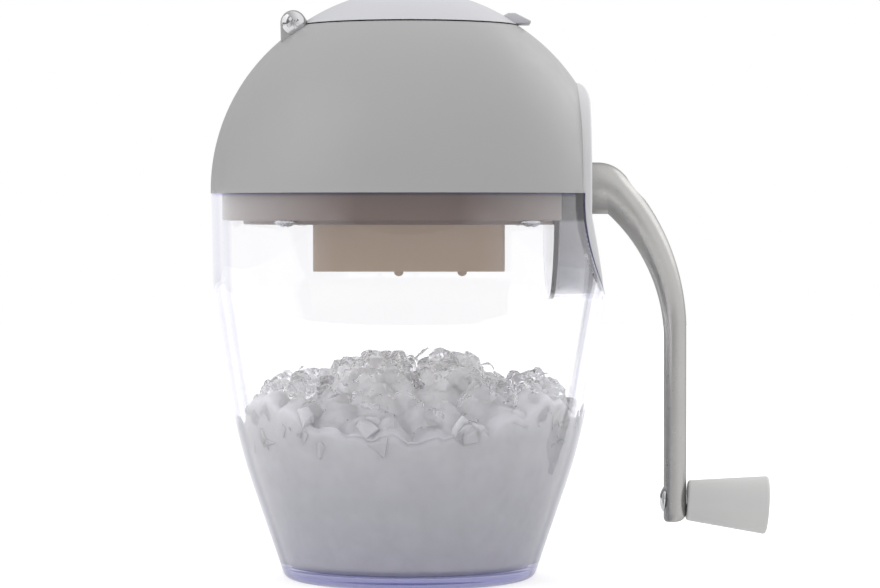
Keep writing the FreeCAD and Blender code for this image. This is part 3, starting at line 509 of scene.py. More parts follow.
finishes = {
    "shell": mouldedPlastic("satin grey shell", linear(172, 172, 172), 0.38),
    "lid": mouldedPlastic("light grey lid", linear(205, 205, 210), 0.36),
    "plate": mouldedPlastic("light grey plate", linear(224, 224, 226), 0.4),
    "housing": housingPlasticPaintedShade("grey housing"),
    "cream": milkyPlasticPaintedShade("cream plastic", linear(193, 168, 143), linear(212, 200, 190), (0.03, 0.052)),
    # painted shade: the plate under the dome is much darker in its middle
    "plateCream": milkyPlasticPaintedShade("cream plate plastic", linear(110, 84, 74), linear(206, 198, 195),
                               (0.02, 0.074)),
    "nylon": mouldedPlastic("white nylon", linear(228, 226, 220), 0.45),
    "grip": mouldedPlastic("grip plastic", linear(208, 208, 207), 0.45, 1800, 0.05),
    "arm": metal("satin metal", linear(188, 187, 185), 0.33, (500, 500, 500), edge=0.5),
    "steel": metal("brushed steel", linear(190, 190, 192), 0.28, (300, 2400, 2400)),
    "chrome": metal("polished chrome", linear(220, 220, 222), 0.1, (400, 400, 400), 0.008, 0.03),
    "clear": clearPlastic("clear plastic"),
}


# jar

def cornerArc(before, corner, after, radius, steps):  # the points that round one corner
    before, corner, after = Vector(before), Vector(corner), Vector(after)
    into, out = (corner - before).normalized(), (after - corner).normalized()
    turn = into.angle_signed(out)
    run = radius * math.tan(abs(turn) / 2)
    start = corner - into * run
    sign = 1 if into.x * out.y - into.y * out.x > 0 else -1
    return [start] + arcTo(start, corner + out * run, sign * radius, steps)


def rounded(corners, steps):  # corners of (x, y, rounding); the open ends stay as they are
    points = [Vector(corners[0][:2])]
    for before, corner, after in zip(corners, corners[1:], corners[2:]):
        if corner[2]:
            points += cornerArc(before[:2], corner[:2], after[:2], corner[2], steps)
        else:
            points.append(Vector(corner[:2]))
    points.append(Vector(corners[-1][:2]))
    return points


def jarSide(inset, bottom, steps):
    s = jarSizes
    lean = (s["bellyRadius"] - s["footRadius"]) / s["bellyHeight"]
    shoulder = jarRim - s["shoulderStep"]
    foot = s["footRadius"] + lean * bottom - inset
    return rounded([
        (0, bottom, 0), (foot, bottom, s["footRounding"] - inset / 4),
        (s["bellyRadius"] - inset, s["bellyHeight"], s["bellyRounding"] - inset),
        (shoulder - inset, s["shoulderHeight"], s["shoulderRounding"] - inset),
        (jarRim - inset, jarTop, 0)], steps)


def innerRadius(height):  # the jar's bore at a height
    side = jarSide(jarSizes["wall"], jarSizes["floor"], steps=8)
    return between([point.yx for point in side[1:]], height)


def pocketCutter(name, radius, back):  # a trough with a round bottom, open to the right
    arch = arc(0, jarTop - jarSizes["pocketDrop"], radius, 180, 360, steps=48)
    high = jarTop * past
    return prism(name, arch + [(radius, high), (-radius, high)], back, jarRim * past)


def makeJar():
    s = jarSizes
    high = jarTop * s["roomTop"]
    side = jarSide(s["wall"], s["floor"], s["sideSteps"])
    outer = turnedPiece("clear_jar", [*jarSide(0, 0, s["sideSteps"]), (0, jarTop)], s["steps"])
    room = turnedPiece("room", [*side, (jarRim - s["wall"], high), (0, high)], s["steps"])
    carve(room, pocketCutter("block", s["pocketRadius"] + s["pocketWall"], s["pocketBack"] - s["pocketWall"]))
    carve(outer, room)
    carve(outer, pocketCutter("cavity", s["pocketRadius"], s["pocketBack"]))
    notch = cylinder("notch", s["notchRadius"], 0, s["notchDepth"], steps=64)
    carve(outer, move(notch, at(s["pocketBack"] - s["notchStart"], 0, shaftHeight, 90)))
    smooth(tidyMesh(outer, merge=1e-5), angle=25)
    return dress(outer, "clear", "jar", "clear_plastic", "jar")


jar = makeJar()
print("jar made", len(jar.data.polygons))


# dome

domeSizes = {
    "lipRise": 3.42, "curve": 81.48, "topRadius": 46.0, "wall": 3.0, "flatDepth": 12.1, "flatBlend": 0.8,
    "opening": 42.5, "openingDepth": 9.0, "innerDrop": 5.0, "edge": 0.6, "earEdge": 0.7, "earRadius": 5.3,
    "earInside": 9.1, "earDrop": 7.4, "earStart": -8.0, "earSlope": 0.2, "earToe": 0.7, "hingeReach": 1.9,
    "hingeLift": 0.6, "hingeLength": 38.2, "postRadius": 4.5, "postTaper": 0.4, "postBore": 2.0,
    "postRise": 25.0, "postX": 48.45, "postY": 55.93,
}
domeRadius = nodeBox("dome_shell")[1].y
domeTop = nodeBox("hopper")[1].z + domeSizes["lipRise"]
hingeX = -(domeSizes["topRadius"] + domeSizes["hingeReach"])
hingeZ = domeTop + domeSizes["hingeLift"]


def flattened(piece, limit, blend):  # presses what lies past a plane onto it, with a rounded edge
    for point in piece.data.vertices:
        x = point.co.x / mm
        near = max(blend - abs(x - limit), 0) / blend
        point.co.x = (min(x, limit) - near * near * blend / 4) * mm


def onPosts(piece, seed=3):  # a copy on each of the four screw posts
    return grown(piece, cornerTree, **{"Spread X": 2 * domeSizes["postX"] * mm,
                                       "Spread Y": 2 * domeSizes["postY"] * mm, "Seed": seed})


def makeDome():
    s = domeSizes
    top, half, inRadius = s["topRadius"], s["wall"] / 2, domeRadius - s["wall"]
    high, low = domeTop - half, jarTop - s["innerDrop"]
    outside = arcTo((domeRadius, jarTop), (top, domeTop), s["curve"], steps=56)
    inside = arcTo((top - half, high), (inRadius, jarTop), s["wall"] - s["curve"], steps=48)
    outer = turnedPiece("outer_skin", [(domeRadius, jarTop), *outside, (0, domeTop), (0, jarTop)], steps=300)
    flattened(outer, domeRadius - s["flatDepth"], s["flatBlend"])
    inner = turnedPiece("inner_skin", [(top - half, high), *inside, (inRadius, low), (0, low), (0, high)],
                        steps=240)
    flattened(inner, domeRadius - s["flatDepth"] - s["wall"], s["flatBlend"])
    carve(outer, inner)
    reach = s["openingDepth"]
    carve(outer, cylinder("hole", s["opening"], domeTop - reach, domeTop + reach, steps=300))
    softEdges(tidyMesh(outer, merge=1e-5), s["edge"], crease=40)
    ears = [makeEar(side) for side in (-1, 1)]
    bore, radius, tip = s["postBore"], s["postRadius"], jarTop + s["postRise"]
    post = turnedPiece("post", [
        (bore, jarTop), (radius, jarTop), (radius - s["postTaper"], tip), (bore, tip)], steps=40)
    dome = joined("domed_shell", outer, *ears, smooth(onPosts(post)))
    return dress(dome, "shell", "head", "grey_shell", "dome_shell")


def makeEar(side):  # a hinge ear with a foot that runs into the dome's shoulder
    s = domeSizes
    r, foot = s["earRadius"], domeTop - s["earDrop"]
    outline = arc(hingeX, hingeZ, r, s["earStart"], 180, steps=26)
    outline += [(hingeX - r + s["earSlope"], foot), (hingeX + r * s["earToe"], foot)]
    start, end = sorted((side * s["earInside"], side * s["hingeLength"] / 2))
    return softEdges(extruded("ear", outline, start, end), s["earEdge"], segments=4, crease=40)


dome = makeDome()
print("dome made", len(dome.data.polygons))


# lid

lidSizes = {
    "radius": 45.6, "curve": 78.7, "wall": 2.5, "gap": 0.6, "knuckleLength": 17.4, "knuckleRadius": 5.15,
    "earGap": 0.4, "edge": 0.45, "knuckleEdge": 0.4, "tabEdge": 0.5, "tabWidth": 16.0, "tabRoot": 1.2,
    # the tab's corners: in from its tip or from the cap's edge, up from the rim, rounding
    "tabTip": [(0.3, 0.3, 0.5), (0.0, 1.5, 0.5), (3.4, 3.2, 4.0)],
    "tabCap": [(2.0, 0.3, 0), (1.4, 4.8, 0.9), (4.4, 4.8, 1.2), (6.5, 3.6, 0)],
}


def makeLid():
    s = lidSizes
    rim = domeTop + s["gap"]
    centre = rim - math.sqrt(s["curve"] ** 2 - s["radius"] ** 2)
    top = centre + s["curve"]
    innerCurve = s["curve"] - s["wall"]
    innerRim = math.sqrt(innerCurve ** 2 - (rim - centre) ** 2)
    cap = turnedPiece("cap", [
        (innerRim, rim), (s["radius"], rim), *arcTo((s["radius"], rim), (0, top), s["curve"], steps=40),
        (0, top - s["wall"]), *arcTo((0, top - s["wall"]), (innerRim, rim), -innerCurve, steps=30)[:-1]],
        steps=240)
    half = s["knuckleLength"] / 2
    for side in (-1, 1):
        start, end = sorted((side * half, side * (domeSizes["hingeLength"] / 2 + s["earGap"])))
        carve(cap, hingeRod("ear_room", domeSizes["earRadius"] + s["earGap"], start, end))
    softEdges(tidyMesh(cap, merge=1e-5), s["edge"], angle=40)
    knuckle = softEdges(hingeRod("knuckle", s["knuckleRadius"], -half, half), s["knuckleEdge"])
    tip, (foot, *crest) = [
        [(start - into, rim + rise, bend) for into, rise, bend in corners]
        for start, corners in ((nodeBox("lid")[1].x, s["tabTip"]), (s["radius"], s["tabCap"]))]
    outline = rounded([(innerRim, rim + s["tabRoot"], 0), foot, *tip, *crest], steps=6)
    tab = softEdges(extruded("tab", outline, -s["tabWidth"] / 2, s["tabWidth"] / 2), s["tabEdge"])
    lid = joined("filler_lid", cap, knuckle, tab)
    return dress(lid, "lid", "lid", "light_grey_shell", "lid")


def hingeRod(name, radius, start, end):
    return move(cylinder(name, radius, start, end, steps=64), at(hingeX, 0, hingeZ, -90, "X"))


lid = makeLid()
print("lid made", len(lid.data.polygons))


# hinge pin and screws

pinSizes = {"head": 4.7, "height": 1.8, "recess": 1.1, "recessDepth": 1.1, "radius": 1.5, "turn": 34,
            "length": domeSizes["hingeLength"], "steps": 32}
screwSizes = {"head": 4.2, "height": 2.8, "recess": 1.1, "recessDepth": 1.6, "radius": 2.0, "length": 22.0,
              "steps": 24}
headShares = {"brim": 0.25, "recessReach": 0.52, "recessFlare": 1.5, "edge": 0.08 / 3}


def domedPin(name, s):  # a shank with a domed head and a cross recess, top at +z
    radius, height, slot = s["head"], s["height"], s["recess"]
    brim = headShares["brim"] * height
    rise = height - brim
    curve = (radius ** 2 + rise ** 2) / (2 * rise)
    head = turnedPiece("head", [
        (0, 0), (radius, 0), (radius, brim), *arcTo((radius, brim), (0, height), curve, steps=12)], steps=48)
    foot, reach = height - s["recessDepth"], headShares["recessReach"] * radius
    high, wide = height + 1, slot / headShares["recessFlare"]
    bar = [(-slot / 2, foot), (slot / 2, foot), (wide, high), (-wide, high)]
    for turn in (0, 90):
        carve(head, move(prism("slot", bar, -reach, reach), at(0, 0, 0, turn, "Z")))
    softEdges(tidyMesh(head), headShares["edge"] * radius, segments=2, angle=40, crease=40)
    return joined(name, head, smooth(cylinder("shank", s["radius"], -s["length"], 0.2, s["steps"])))


def makeHingePin():
    s = pinSizes
    pin = domedPin("hinge_pin_chromed", s)
    move(pin, at(hingeX, -s["length"] / 2, hingeZ, 90, "X") @ at(0, 0, 0, s["turn"], "Z"))
    return dress(pin, "chrome", "head", "chrome", "hinge_pin")


def makeBaseScrews():
    s = screwSizes
    screw = onPosts(domedPin("base_screws", s), seed=5)
    move(screw, at(0, 0, nodeBox("base_plate_screws")[0].z + s["height"], 180, "X"))
    return dress(screw, "steel", "head", "steel", "base_plate_screws")


makeHingePin()
makeBaseScrews()
print("pin and screws made")


# bearing plate on the dome's flat

plateSizes = {"wall": 3.7, "flareDrop": 9.2, "flareStep": 6.6, "flareWall": 5.0, "topDrop": 9.5,
              "topRound": 0.93, "edge": 1.0, "radius": 41.1, "lap": 0.5, "frontRows": [30, 24, 17, 11, 6, 3],
              "backRows": [0, 3, 11, 24], "middle": 0.02, "arcSteps": 56, "sideSteps": 6, "edgeSteps": 6}
plateTop = nodeBox("crank_plate")[1].z
flatPlace = domeRadius - domeSizes["flatDepth"]
plateFace = flatPlace + plateSizes["wall"]


def plateFront(height):  # how far the plate's face stands out at a height
    s = plateSizes
    flareTop = jarTop - s["flareDrop"]
    if height < flareTop:
        run = flareTop - (jarTop - jarSizes["pocketDrop"] - jarSizes["pocketRadius"])
        return plateFace + s["flareStep"] * (flareTop - height) / run
    crest = plateTop - s["topDrop"]
    if height > crest:
        share = min((height - crest) / s["topDrop"], 1)
        sink, whole = (1 - math.sqrt(1 - (s["topRound"] * part) ** 2) for part in (share, 1))
        return plateFace - s["wall"] * sink / whole
    return plateFace


def makePlate():
    s = plateSizes
    low, high = jarTop - jarSizes["pocketDrop"], plateTop - s["radius"]
    straight = [(high - low) * k / s["sideSteps"] for k in range(1, s["sideSteps"])]

    def oval(inset):
        r = s["radius"] - inset
        return [*arc(0, low, r, 180, 360, s["arcSteps"]), *[Vector((r, low + rise)) for rise in straight],
                *arc(0, high, r, 0, 180, s["arcSteps"]), *[Vector((-r, high - rise)) for rise in straight]]

    centre = s["radius"] - s["middle"]
    front = [(inset, 0.0) for inset in (centre, *s["frontRows"])]
    front += [(s["edge"] * (1 - math.sin(a)), s["edge"] * (1 - math.cos(a)))
              for a in (math.pi / 2 * k / s["edgeSteps"] for k in range(s["edgeSteps"] + 1))]
    rings = [[place(plateFront(z) - sink, y, z) for y, z in oval(inset)] for inset, sink in front]
    rings += [[place(plateBack(y, z), y, z) for y, z in oval(inset)] for inset in (*s["backRows"], centre)]
    plate = smooth(skinned("bearing_plate", rings, merge=1e-5), angle=40)
    return dress(plate, "plate", "head", "light_grey_shell", "crank_plate")


def plateBack(aside, height):  # the back lies on the dome, and stands clear of the jar below it
    s = plateSizes
    flareTop = jarTop - s["flareDrop"]
    if height < flareTop:
        return max(plateFront(height) - s["flareWall"], flatPlace)
    rise = max(height - jarTop, 0)
    skin = domeSizes["curve"]
    girth = math.sqrt(skin ** 2 - rise ** 2) + domeRadius - skin
    onDome = math.sqrt(max(girth ** 2 - aside ** 2, 0))
    return min(onDome - s["lap"], flatPlace)


plate = makePlate()
print("plate made", len(plate.data.polygons))


# crank arm

armSizes = {"hubRadius": 10.8, "hubGap": 0.2, "crownStep": 4.2, "bendDrop": 59.6, "rounding": 95.0,
            "thickness": 9.2, "throatDrop": 64.6, "throatRounding": 72.9, "drop": 139.8, "corner": 4.0,
            "width": 13.6, "neckStart": 11.4, "neckLength": 40.0, "roundness": 0.97, "screwSeat": 11.3,
            "recess": 5.3, "recessDepth": 40.0, "endEdge": 0.5, "endShare": 0.95, "endSteps": 9, "rows": 64,
            "straightRows": 14, "hubEdge": [(0, 0.7), (0.2, 0.2), (0.7, 0)]}  # steps along it and insets


def makeArm():
    s = armSizes
    hubFace = plateFace + s["hubGap"]
    hubTop, hubBottom = shaftHeight + s["hubRadius"], shaftHeight - s["hubRadius"]
    outsideX = nodeBox("crank_arm")[1].x
    insideX = outsideX - s["thickness"]
    crownX = plateFace + s["crownStep"]
    bendZ, throatZ = shaftHeight - s["bendDrop"], shaftHeight - s["throatDrop"]
    bend, throat = s["rounding"], s["throatRounding"]
    run, rise = crownX - outsideX + bend, hubTop - bendZ
    crown = (bend ** 2 - run ** 2 - rise ** 2) / (2 * (bend - rise))
    share = bend / (bend - crown)
    joint = (outsideX - bend + share * run, bendZ + share * (rise - crown))
    throatEnd = insideX - throat + math.sqrt(throat ** 2 - (hubBottom - throatZ) ** 2)
    outer = [Vector((crownX, hubTop)), *arcTo((crownX, hubTop), joint, -crown, steps=30),
             *arcTo(joint, (outsideX, bendZ), -bend, steps=90)]
    inner = [Vector((throatEnd, hubBottom)),
             *arcTo((throatEnd, hubBottom), (insideX, throatZ), -throat, steps=90)]
    rows, straight, last = s["rows"], s["straightRows"], s["endSteps"]
    rings = [armRing((hubFace + step, hubTop), (hubFace + step, hubBottom), inset)
             for step, inset in s["hubEdge"]]
    rings += [armRing(pointAt(outer, k / rows), pointAt(inner, k / rows), 0) for k in range(rows + 1)]
    foot = shaftHeight - s["drop"] + s["corner"]
    shares = [k / straight for k in range(1, straight + 1)]
    rings += [armRing((outsideX, bendZ + (foot - bendZ) * share),
                      (insideX, throatZ + (foot - throatZ) * share), 0) for share in shares]
    for k in range(1, last + 1):  # the end is round on the grip's side and nearly square on the other
        angle = math.pi / 2 * k / last
        level = foot - s["corner"] * math.sin(angle)
        trim = 1 - math.cos(angle)
        edge = s["endEdge"] * trim ** 3
        outX = outsideX - s["corner"] * s["endShare"] * trim
        rings.append(armRing((outX, level), (insideX + edge, level), edge))
    arm = skinned("swan_neck_arm", rings)
    recess = cylinder("recess", s["recess"], 0, s["recessDepth"], steps=64)
    carve(arm, move(recess, at(plateFace + s["screwSeat"], 0, shaftHeight, 90)))
    smooth(tidyMesh(arm))
    return dress(arm, "arm", "crank", "satin_metal", "crank_arm")


def pointAt(path, share):  # a point at a share of a path's length
    lengths = [0.0]
    for a, b in zip(path, path[1:]):
        lengths.append(lengths[-1] + (b - a).length)
    goal = share * lengths[-1]
    for k, (low, high) in enumerate(zip(lengths, lengths[1:])):
        if goal <= high:
            return path[k].lerp(path[k + 1], (goal - low) / (high - low))
    return path[-1]


def armRing(out, into, inset):  # a rounded section between the outer and the inner line
    s = armSizes
    out, into = Vector(out), Vector(into)
    middle, along = (out + into) / 2, (out - into).normalized()
    half = (out - into).length / 2 - inset
    neckHigh = shaftHeight - s["neckStart"]
    t = min(max((middle.y - neckHigh) / s["neckLength"] + 1, 0), 1)
    t = t * t * (3 - 2 * t)
    wide = s["width"] / 2 + (s["hubRadius"] - s["width"] / 2) * t - inset
    section = roundedRectangle(wide, half, min(half, wide) * s["roundness"], steps=10)
    spots = [(middle + along * across, y) for y, across in section]
    return [place(spot.x, y, spot.y) for spot, y in spots]


arm = makeArm()
print("arm made", len(arm.data.polygons))


# grip

gripSizes = {"length": 33.8, "small": 8.4, "big": 12.3, "rounding": 1.2, "bore": 5.6, "boreDepth": 8.0,
             "boreEdge": 0.3, "pinBore": 3.1, "tilt": 3.6, "step": 0.4, "throw": 131.1}


def makeGrip():
    s = gripSizes
    length, seat = s["length"], s["length"] - s["boreDepth"]
    grip = turnedPiece("tapered_grip", rounded([
        (s["pinBore"], 0, 0), (s["small"], 0, s["rounding"]), (s["big"], length, s["rounding"]),
        (s["bore"], length, s["boreEdge"]), (s["bore"], seat, 0), (s["pinBore"], seat, 0)], steps=8),
        steps=96)
    reach = nodeBox("crank_arm")[1].x + s["step"]
    move(smooth(grip), at(reach, 0, shaftHeight - s["throw"], 90 + s["tilt"]))
    return dress(grip, "grip", "grip", "grip_plastic", "grip")


grip = makeGrip()
print("grip made", len(grip.data.polygons))


# base plate under the dome

baseSizes = {"rim": 2.5, "floor": 3.0, "tierStep": 8.9, "tierDrop": 1.7, "edge": 0.7, "rimEdge": 0.4,
             "tierEdge": 0.3, "windowGap": 0.3, "boxLength": 78.3, "boxWidth": 61.0, "notchGap": 0.3,
             "notchHalf": 50.0, "bossBore": 2.1, "bossStart": 1.0, "bossDrop": 0.05, "cutPast": 1.0}


def rectangle(half, low, high):  # an outline in (y, z)
    return [(-half, low), (half, low), (half, high), (-half, high)]


def makeBasePlate():
    s = baseSizes
    low, high = nodeBox("base_plate")
    radius, under = high.y, low.z + s["tierDrop"]
    tier, inside, top = radius - s["tierStep"], radius - s["rim"], under + s["floor"]
    edge, rimEdge = s["edge"], s["rimEdge"]
    plate = turnedPiece("drip_plate", rounded([
        (0, low.z, 0), (tier, low.z, edge), (tier, under, s["tierEdge"]), (radius, under, edge),
        (radius, high.z, rimEdge), (inside, high.z, rimEdge), (inside, top, rimEdge), (0, top, 0)],
        steps=5), steps=240)
    reach, span = s["boxLength"] / 2 + s["windowGap"], (low.z - s["cutPast"], high.z + s["cutPast"])
    window = rectangle(s["boxWidth"] / 2 + s["windowGap"], *span)
    carve(plate, prism("window", window, -reach, reach))
    back = jarSizes["pocketBack"] - jarSizes["pocketWall"] - s["notchGap"]
    carve(plate, prism("notch", rectangle(s["notchHalf"], *span), back, radius * past))
    smooth(tidyMesh(plate))
    boss = cylinder("boss", domeSizes["postRadius"], under + s["bossStart"], high.z - s["bossDrop"], steps=40,
                    bore=s["bossBore"])
    plate = joined("drip_plate", plate, smooth(onPosts(boss)))
    return dress(plate, "plateCream", "head", "cream_plastic", "base_plate")


basePlate = makeBasePlate()


# chute with its fixed ribs

chuteSizes = {"wall": 2.7, "corner": 2.4, "innerCorner": 0.8, "flange": 7.8, "flangeWall": 2.5,
              "ribFirst": -30.2, "ribPitch": 26.0, "ribWall": 3.4, "ribReach": 8.0, "ribs": 3,
              "ribFoot": 0.3, "ribSlope": 2.0, "ribDrop": 1.0, "edge": 0.4, "borePast": 2.0,
              "pegRadius": 1.9, "pegDrop": 2.0, "pegInset": 4.0, "pegBrim": 1.2, "pegCurve": 1.12,
              "pegLap": 0.5}


def roundedBox(name, halfX, halfY, corner, low, high):
    outline = roundedRectangle(halfX, halfY, corner, steps=6)
    return skinned(name, [[place(x, y, z) for x, y in outline] for z in (low, high)])


def makeRowTree():  # copies of a piece at an even pitch along x
    made, entry = tree("even row", [("Count", "Int", 3), ("Pitch", "Float", 0.01)])
    step = add(made, "CombineXYZ", {0: entry["Pitch"]})
    line = add(made, "GeometryNodeMeshLine", {"Count": entry["Count"], "Offset": step})
    copies = add(made, "GeometryNodeInstanceOnPoints", {"Points": line, "Instance": entry["Geometry"]})
    return finishTree(made, entry, copies)


rowTree = makeRowTree()


def makeChute():
    s = chuteSizes
    low, high = nodeBox("chute")
    bottom, top = low.z + s["pegDrop"], high.z
    halfX, halfY = baseSizes["boxLength"] / 2, baseSizes["boxWidth"] / 2
    flange, wall, pitch = s["flange"], s["wall"], s["ribPitch"] * mm
    body = roundedBox("feed_chute", halfX, halfY, s["corner"], bottom, top)
    carve(body, roundedBox("flange", halfX + flange, halfY + flange, s["corner"], top - s["flangeWall"], top),
          "UNION")
    carve(body, roundedBox("bore", halfX - wall, halfY - wall, s["innerCorner"], bottom - s["borePast"],
                           top + s["borePast"]))
    softEdges(body, s["edge"], segments=2, angle=60)
    inWall = wall / 2 - halfY
    first, half = s["ribFirst"], s["ribWall"] / 2
    reach, high = -s["ribReach"], top - s["ribDrop"]
    rib = prism("rib", [(inWall, bottom + s["ribFoot"]), (reach, bottom + s["ribSlope"]), (reach, high),
                        (inWall, high)], first - half, first + half)
    ribs = grown(softEdges(rib, s["edge"], segments=2), rowTree, Count=s["ribs"], Pitch=pitch)
    r, brim, high = s["pegRadius"], low.z + s["pegBrim"], bottom + s["pegLap"]
    peg = turnedPiece("peg", [
        (0, low.z), *arcTo((0, low.z), (r, brim), r * s["pegCurve"], steps=6), (r, high), (0, high)],
        steps=32)
    move(peg, at(first + s["ribPitch"], wall - halfY + s["pegInset"], 0))
    pegs = smooth(grown(peg, rowTree, Count=s["ribs"] - 1, Pitch=pitch))
    chute = joined("feed_chute", body, smooth(ribs), pegs)
    return dress(chute, "cream", "head", "cream_plastic", "chute")


chute = makeChute()
print("base plate and chute made", len(basePlate.data.polygons), len(chute.data.polygons))


# CAD pieces that keep their shape

def paint(finish, *names):
    for name in names:
        node = nodes[name]
        if not node.material_slots:
            node.data.materials.append(finishes[finish])
        for held in node.material_slots:
            held.material = finishes[finish]


paint("housing", "crank_housing")
paint("cream", "hopper")
paint("nylon", "far_bush", "near_bush", "crank_bush", "rotor_spacers")
paint("steel", "housing_screws", "crusher_box_screws", "drive_shaft", "shaft_circlip", "crank_screw",
      "grip_retainer", *[f"rotor_blade_{k}" for k in range(1, 6)])
paint("chrome", "hinge_cap", "grip_pin")
paint("grip", "grip_cap")


# crushed ice in the jar

iceSizes = {
    "edgeRise": 14.0, "dips": [(38.0, 25.0), (3.0, 30.0), (-34.0, 25.0)], "mounds": [8.0, 9.5, 9.5, 8.0],
    "frontRise": 9.0, "backRise": 21.0, "peakRise": 41.0, "slopeMound": 5.0,
    "wetFilm": 0.9, "coreFilm": 0.35, "sink": 6.0, "rows": 64, "columns": 220, "sides": 60,
    "lump": 11.0, "lumpRise": 2.2, "lumpFall": 9.0, "crumb": 4.0, "crumbRise": 1.2,
    "brim": 72.0, "rough": 0.25, "roughGrain": 3.5, "roughRadius": 70.0, "edgeHeight": 4.0,
    "footFall": 2.4, "brimFall": 2.5, "floorGap": 0.4, "chipFloorGap": 0.2, "chipDrop": 3.0,
}
# each layer's rise, its chips on a square metre, their smallest and largest length
chipLayers = [(0.0, 9500.0, 6.0, 15.0), (3.0, 9500.0, 6.0, 15.0), (1.2, 26000.0, 3.0, 6.5)]
chipSizes = {"kinds": 7, "corners": 14, "halfLength": 0.5, "halfWidth": 0.28, "widthSpread": 0.2,
             "halfHeight": 0.4, "layerShare": 0.95, "fuseStep": 0.75, "faceShare": 0.6}


def moundLine(corners, mounds):  # a row of arcs, each rising above its chord
    line = [Vector(corners[0])]
    for start, end, rise in zip(corners, corners[1:], mounds):
        half = (Vector(end) - Vector(start)).length / 2
        line += arcTo(start, end, (half ** 2 + rise ** 2) / (2 * rise), 16)
    return sorted(line, key=lambda p: p.x)


def iceLines():
    s = iceSizes
    belly, base = jarSizes["bellyRadius"], jarSizes["bellyHeight"]
    edge = base + s["edgeRise"]
    dips = [(x, base + rise) for x, rise in s["dips"]]
    slopes = [(belly, base + s["backRise"]), (0, base + s["peakRise"]), (-belly, base + s["frontRise"])]
    return (moundLine([(belly, edge), *dips, (-belly, edge)], s["mounds"]),
            moundLine(slopes, [s["slopeMound"]] * 2))


iceAcross, iceSlopes = iceLines()


def iceTop(x, y):
    s = iceSizes
    height = min(between(iceAcross, x), between(iceSlopes, y))
    apart = noise.voronoi(Vector((x, y, 3)) / s["lump"])[0][0]
    lumps = s["lumpRise"] - s["lumpFall"] * apart ** 2
    crumbs = noise.noise(Vector((x, y, 7)) / s["crumb"]) * s["crumbRise"]
    return height + (lumps + crumbs) - s["sink"]


def makeIce():
    s = iceSizes
    rows, columns = s["rows"], s["columns"]
    ways = [(math.cos(math.tau * k / columns), math.sin(math.tau * k / columns)) for k in range(columns)]
    reach = innerRadius(s["brim"]) + s["coreFilm"] - s["brimFall"]
    points = []
    for row in range(rows + 1):
        r = reach * row / rows
        points += [place(r * x, r * y, iceTop(r * x, r * y)) for x, y in ways]
    floorZ = jarSizes["floor"] + s["floorGap"]
    edge = [point.z / mm for point in points[-columns:]]
    for row in range(1, s["sides"] + 1):
        for top, (x, y) in zip(edge, ways):
            z = top + (floorZ - top) * row / s["sides"]
            rough = noise.noise(Vector((x * s["roughRadius"], y * s["roughRadius"], z)) / s["roughGrain"])
            low = max(1 - (z - floorZ) / s["edgeHeight"], 0)
            high = max(1 - (top - z) / s["edgeHeight"], 0)
            r = innerRadius(z) + s["coreFilm"] + s["rough"] * min(rough, 0)
            r -= s["footFall"] * low * low + s["brimFall"] * high * high
            points.append(place(r * x, r * y, z))
    faces = bandFaces(rows + s["sides"] + 1, columns)
    faces.append(list(range(len(points) - columns, len(points))))
    return smooth(tidyMesh(meshObject("ice_heap", points, faces)), angle=60)


def makeChip(seed):  # an irregular splinter of ice
    s, draw = chipSizes, random.Random(seed)
    work = bmesh.new()
    for _ in range(s["corners"]):
        way = Vector((draw.gauss(0, 1), draw.gauss(0, 1), draw.gauss(0, 1))).normalized()
        wide = s["halfWidth"] + s["widthSpread"] * draw.random()
        work.verts.new(Vector((way.x * s["halfLength"], way.y * wide, way.z * s["halfHeight"])))
    made = bmesh.ops.convex_hull(work, input=work.verts)
    spare = made["geom_interior"] + made["geom_unused"]
    loose = {item for item in spare if isinstance(item, bmesh.types.BMVert)}
    bmesh.ops.delete(work, geom=list(loose), context="VERTS")
    mesh = bpy.data.meshes.new(f"chip_{seed}")
    work.to_mesh(mesh)
    work.free()
    return bpy.data.objects.new(f"chip_{seed}", mesh)


def makeChipTree(kinds):
    made, entry = tree("ice chips", [
        ("Density", "Float", 1.0), ("Smallest", "Float", 0.002), ("Largest", "Float", 0.006),
        ("Sink", "Float", 0.0), ("Lowest", "Float", 0.0), ("Seed", "Int", 1)])
    seed = {"Seed": entry["Seed"]}
    height = split(made, add(made, "GeometryNodeInputPosition").outputs[0])[2]
    chosen = add(made, "FunctionNodeCompare", {0: height, 1: entry["Lowest"]},
                 data_type="FLOAT", operation="GREATER_THAN")
    points = add(made, "GeometryNodeDistributePointsOnFaces", {
        "Mesh": entry["Geometry"], "Selection": chosen, "Density": entry["Density"], **seed})
    choice = add(made, "GeometryNodeCollectionInfo", {
        "Collection": kinds, "Separate Children": True, "Reset Children": True})
    size = add(made, "FunctionNodeRandomValue", {2: entry["Smallest"], 3: entry["Largest"], **seed},
               data_type="FLOAT")
    turn = add(made, "FunctionNodeRandomValue", {1: (math.tau,) * 3, **seed}, data_type="FLOAT_VECTOR")
    sunk = add(made, "VectorMath", {
        0: points.outputs["Normal"], "Scale": calc(made, "MULTIPLY", entry["Sink"], -1)}, operation="SCALE")
    lowered = add(made, "GeometryNodeSetPosition", {
        "Geometry": points.outputs["Points"], "Offset": sunk})
    copies = add(made, "GeometryNodeInstanceOnPoints", {
        "Points": lowered, "Instance": choice, "Pick Instance": True,
        "Rotation": turn, "Scale": size.outputs[1]})
    return finishTree(made, entry, copies)


iceLightAndShade = [  # deep ice is greyer, and painted light makes the top of the heap bright
    (0, linear(182, 181, 190)), (26, linear(184, 184, 188)), (50, linear(190, 190, 193)),
    (62, linear(195, 195, 197)), (80, linear(227, 227, 228)), (90, linear(248, 248, 249)),
    (100, linear(252, 252, 252)),
]


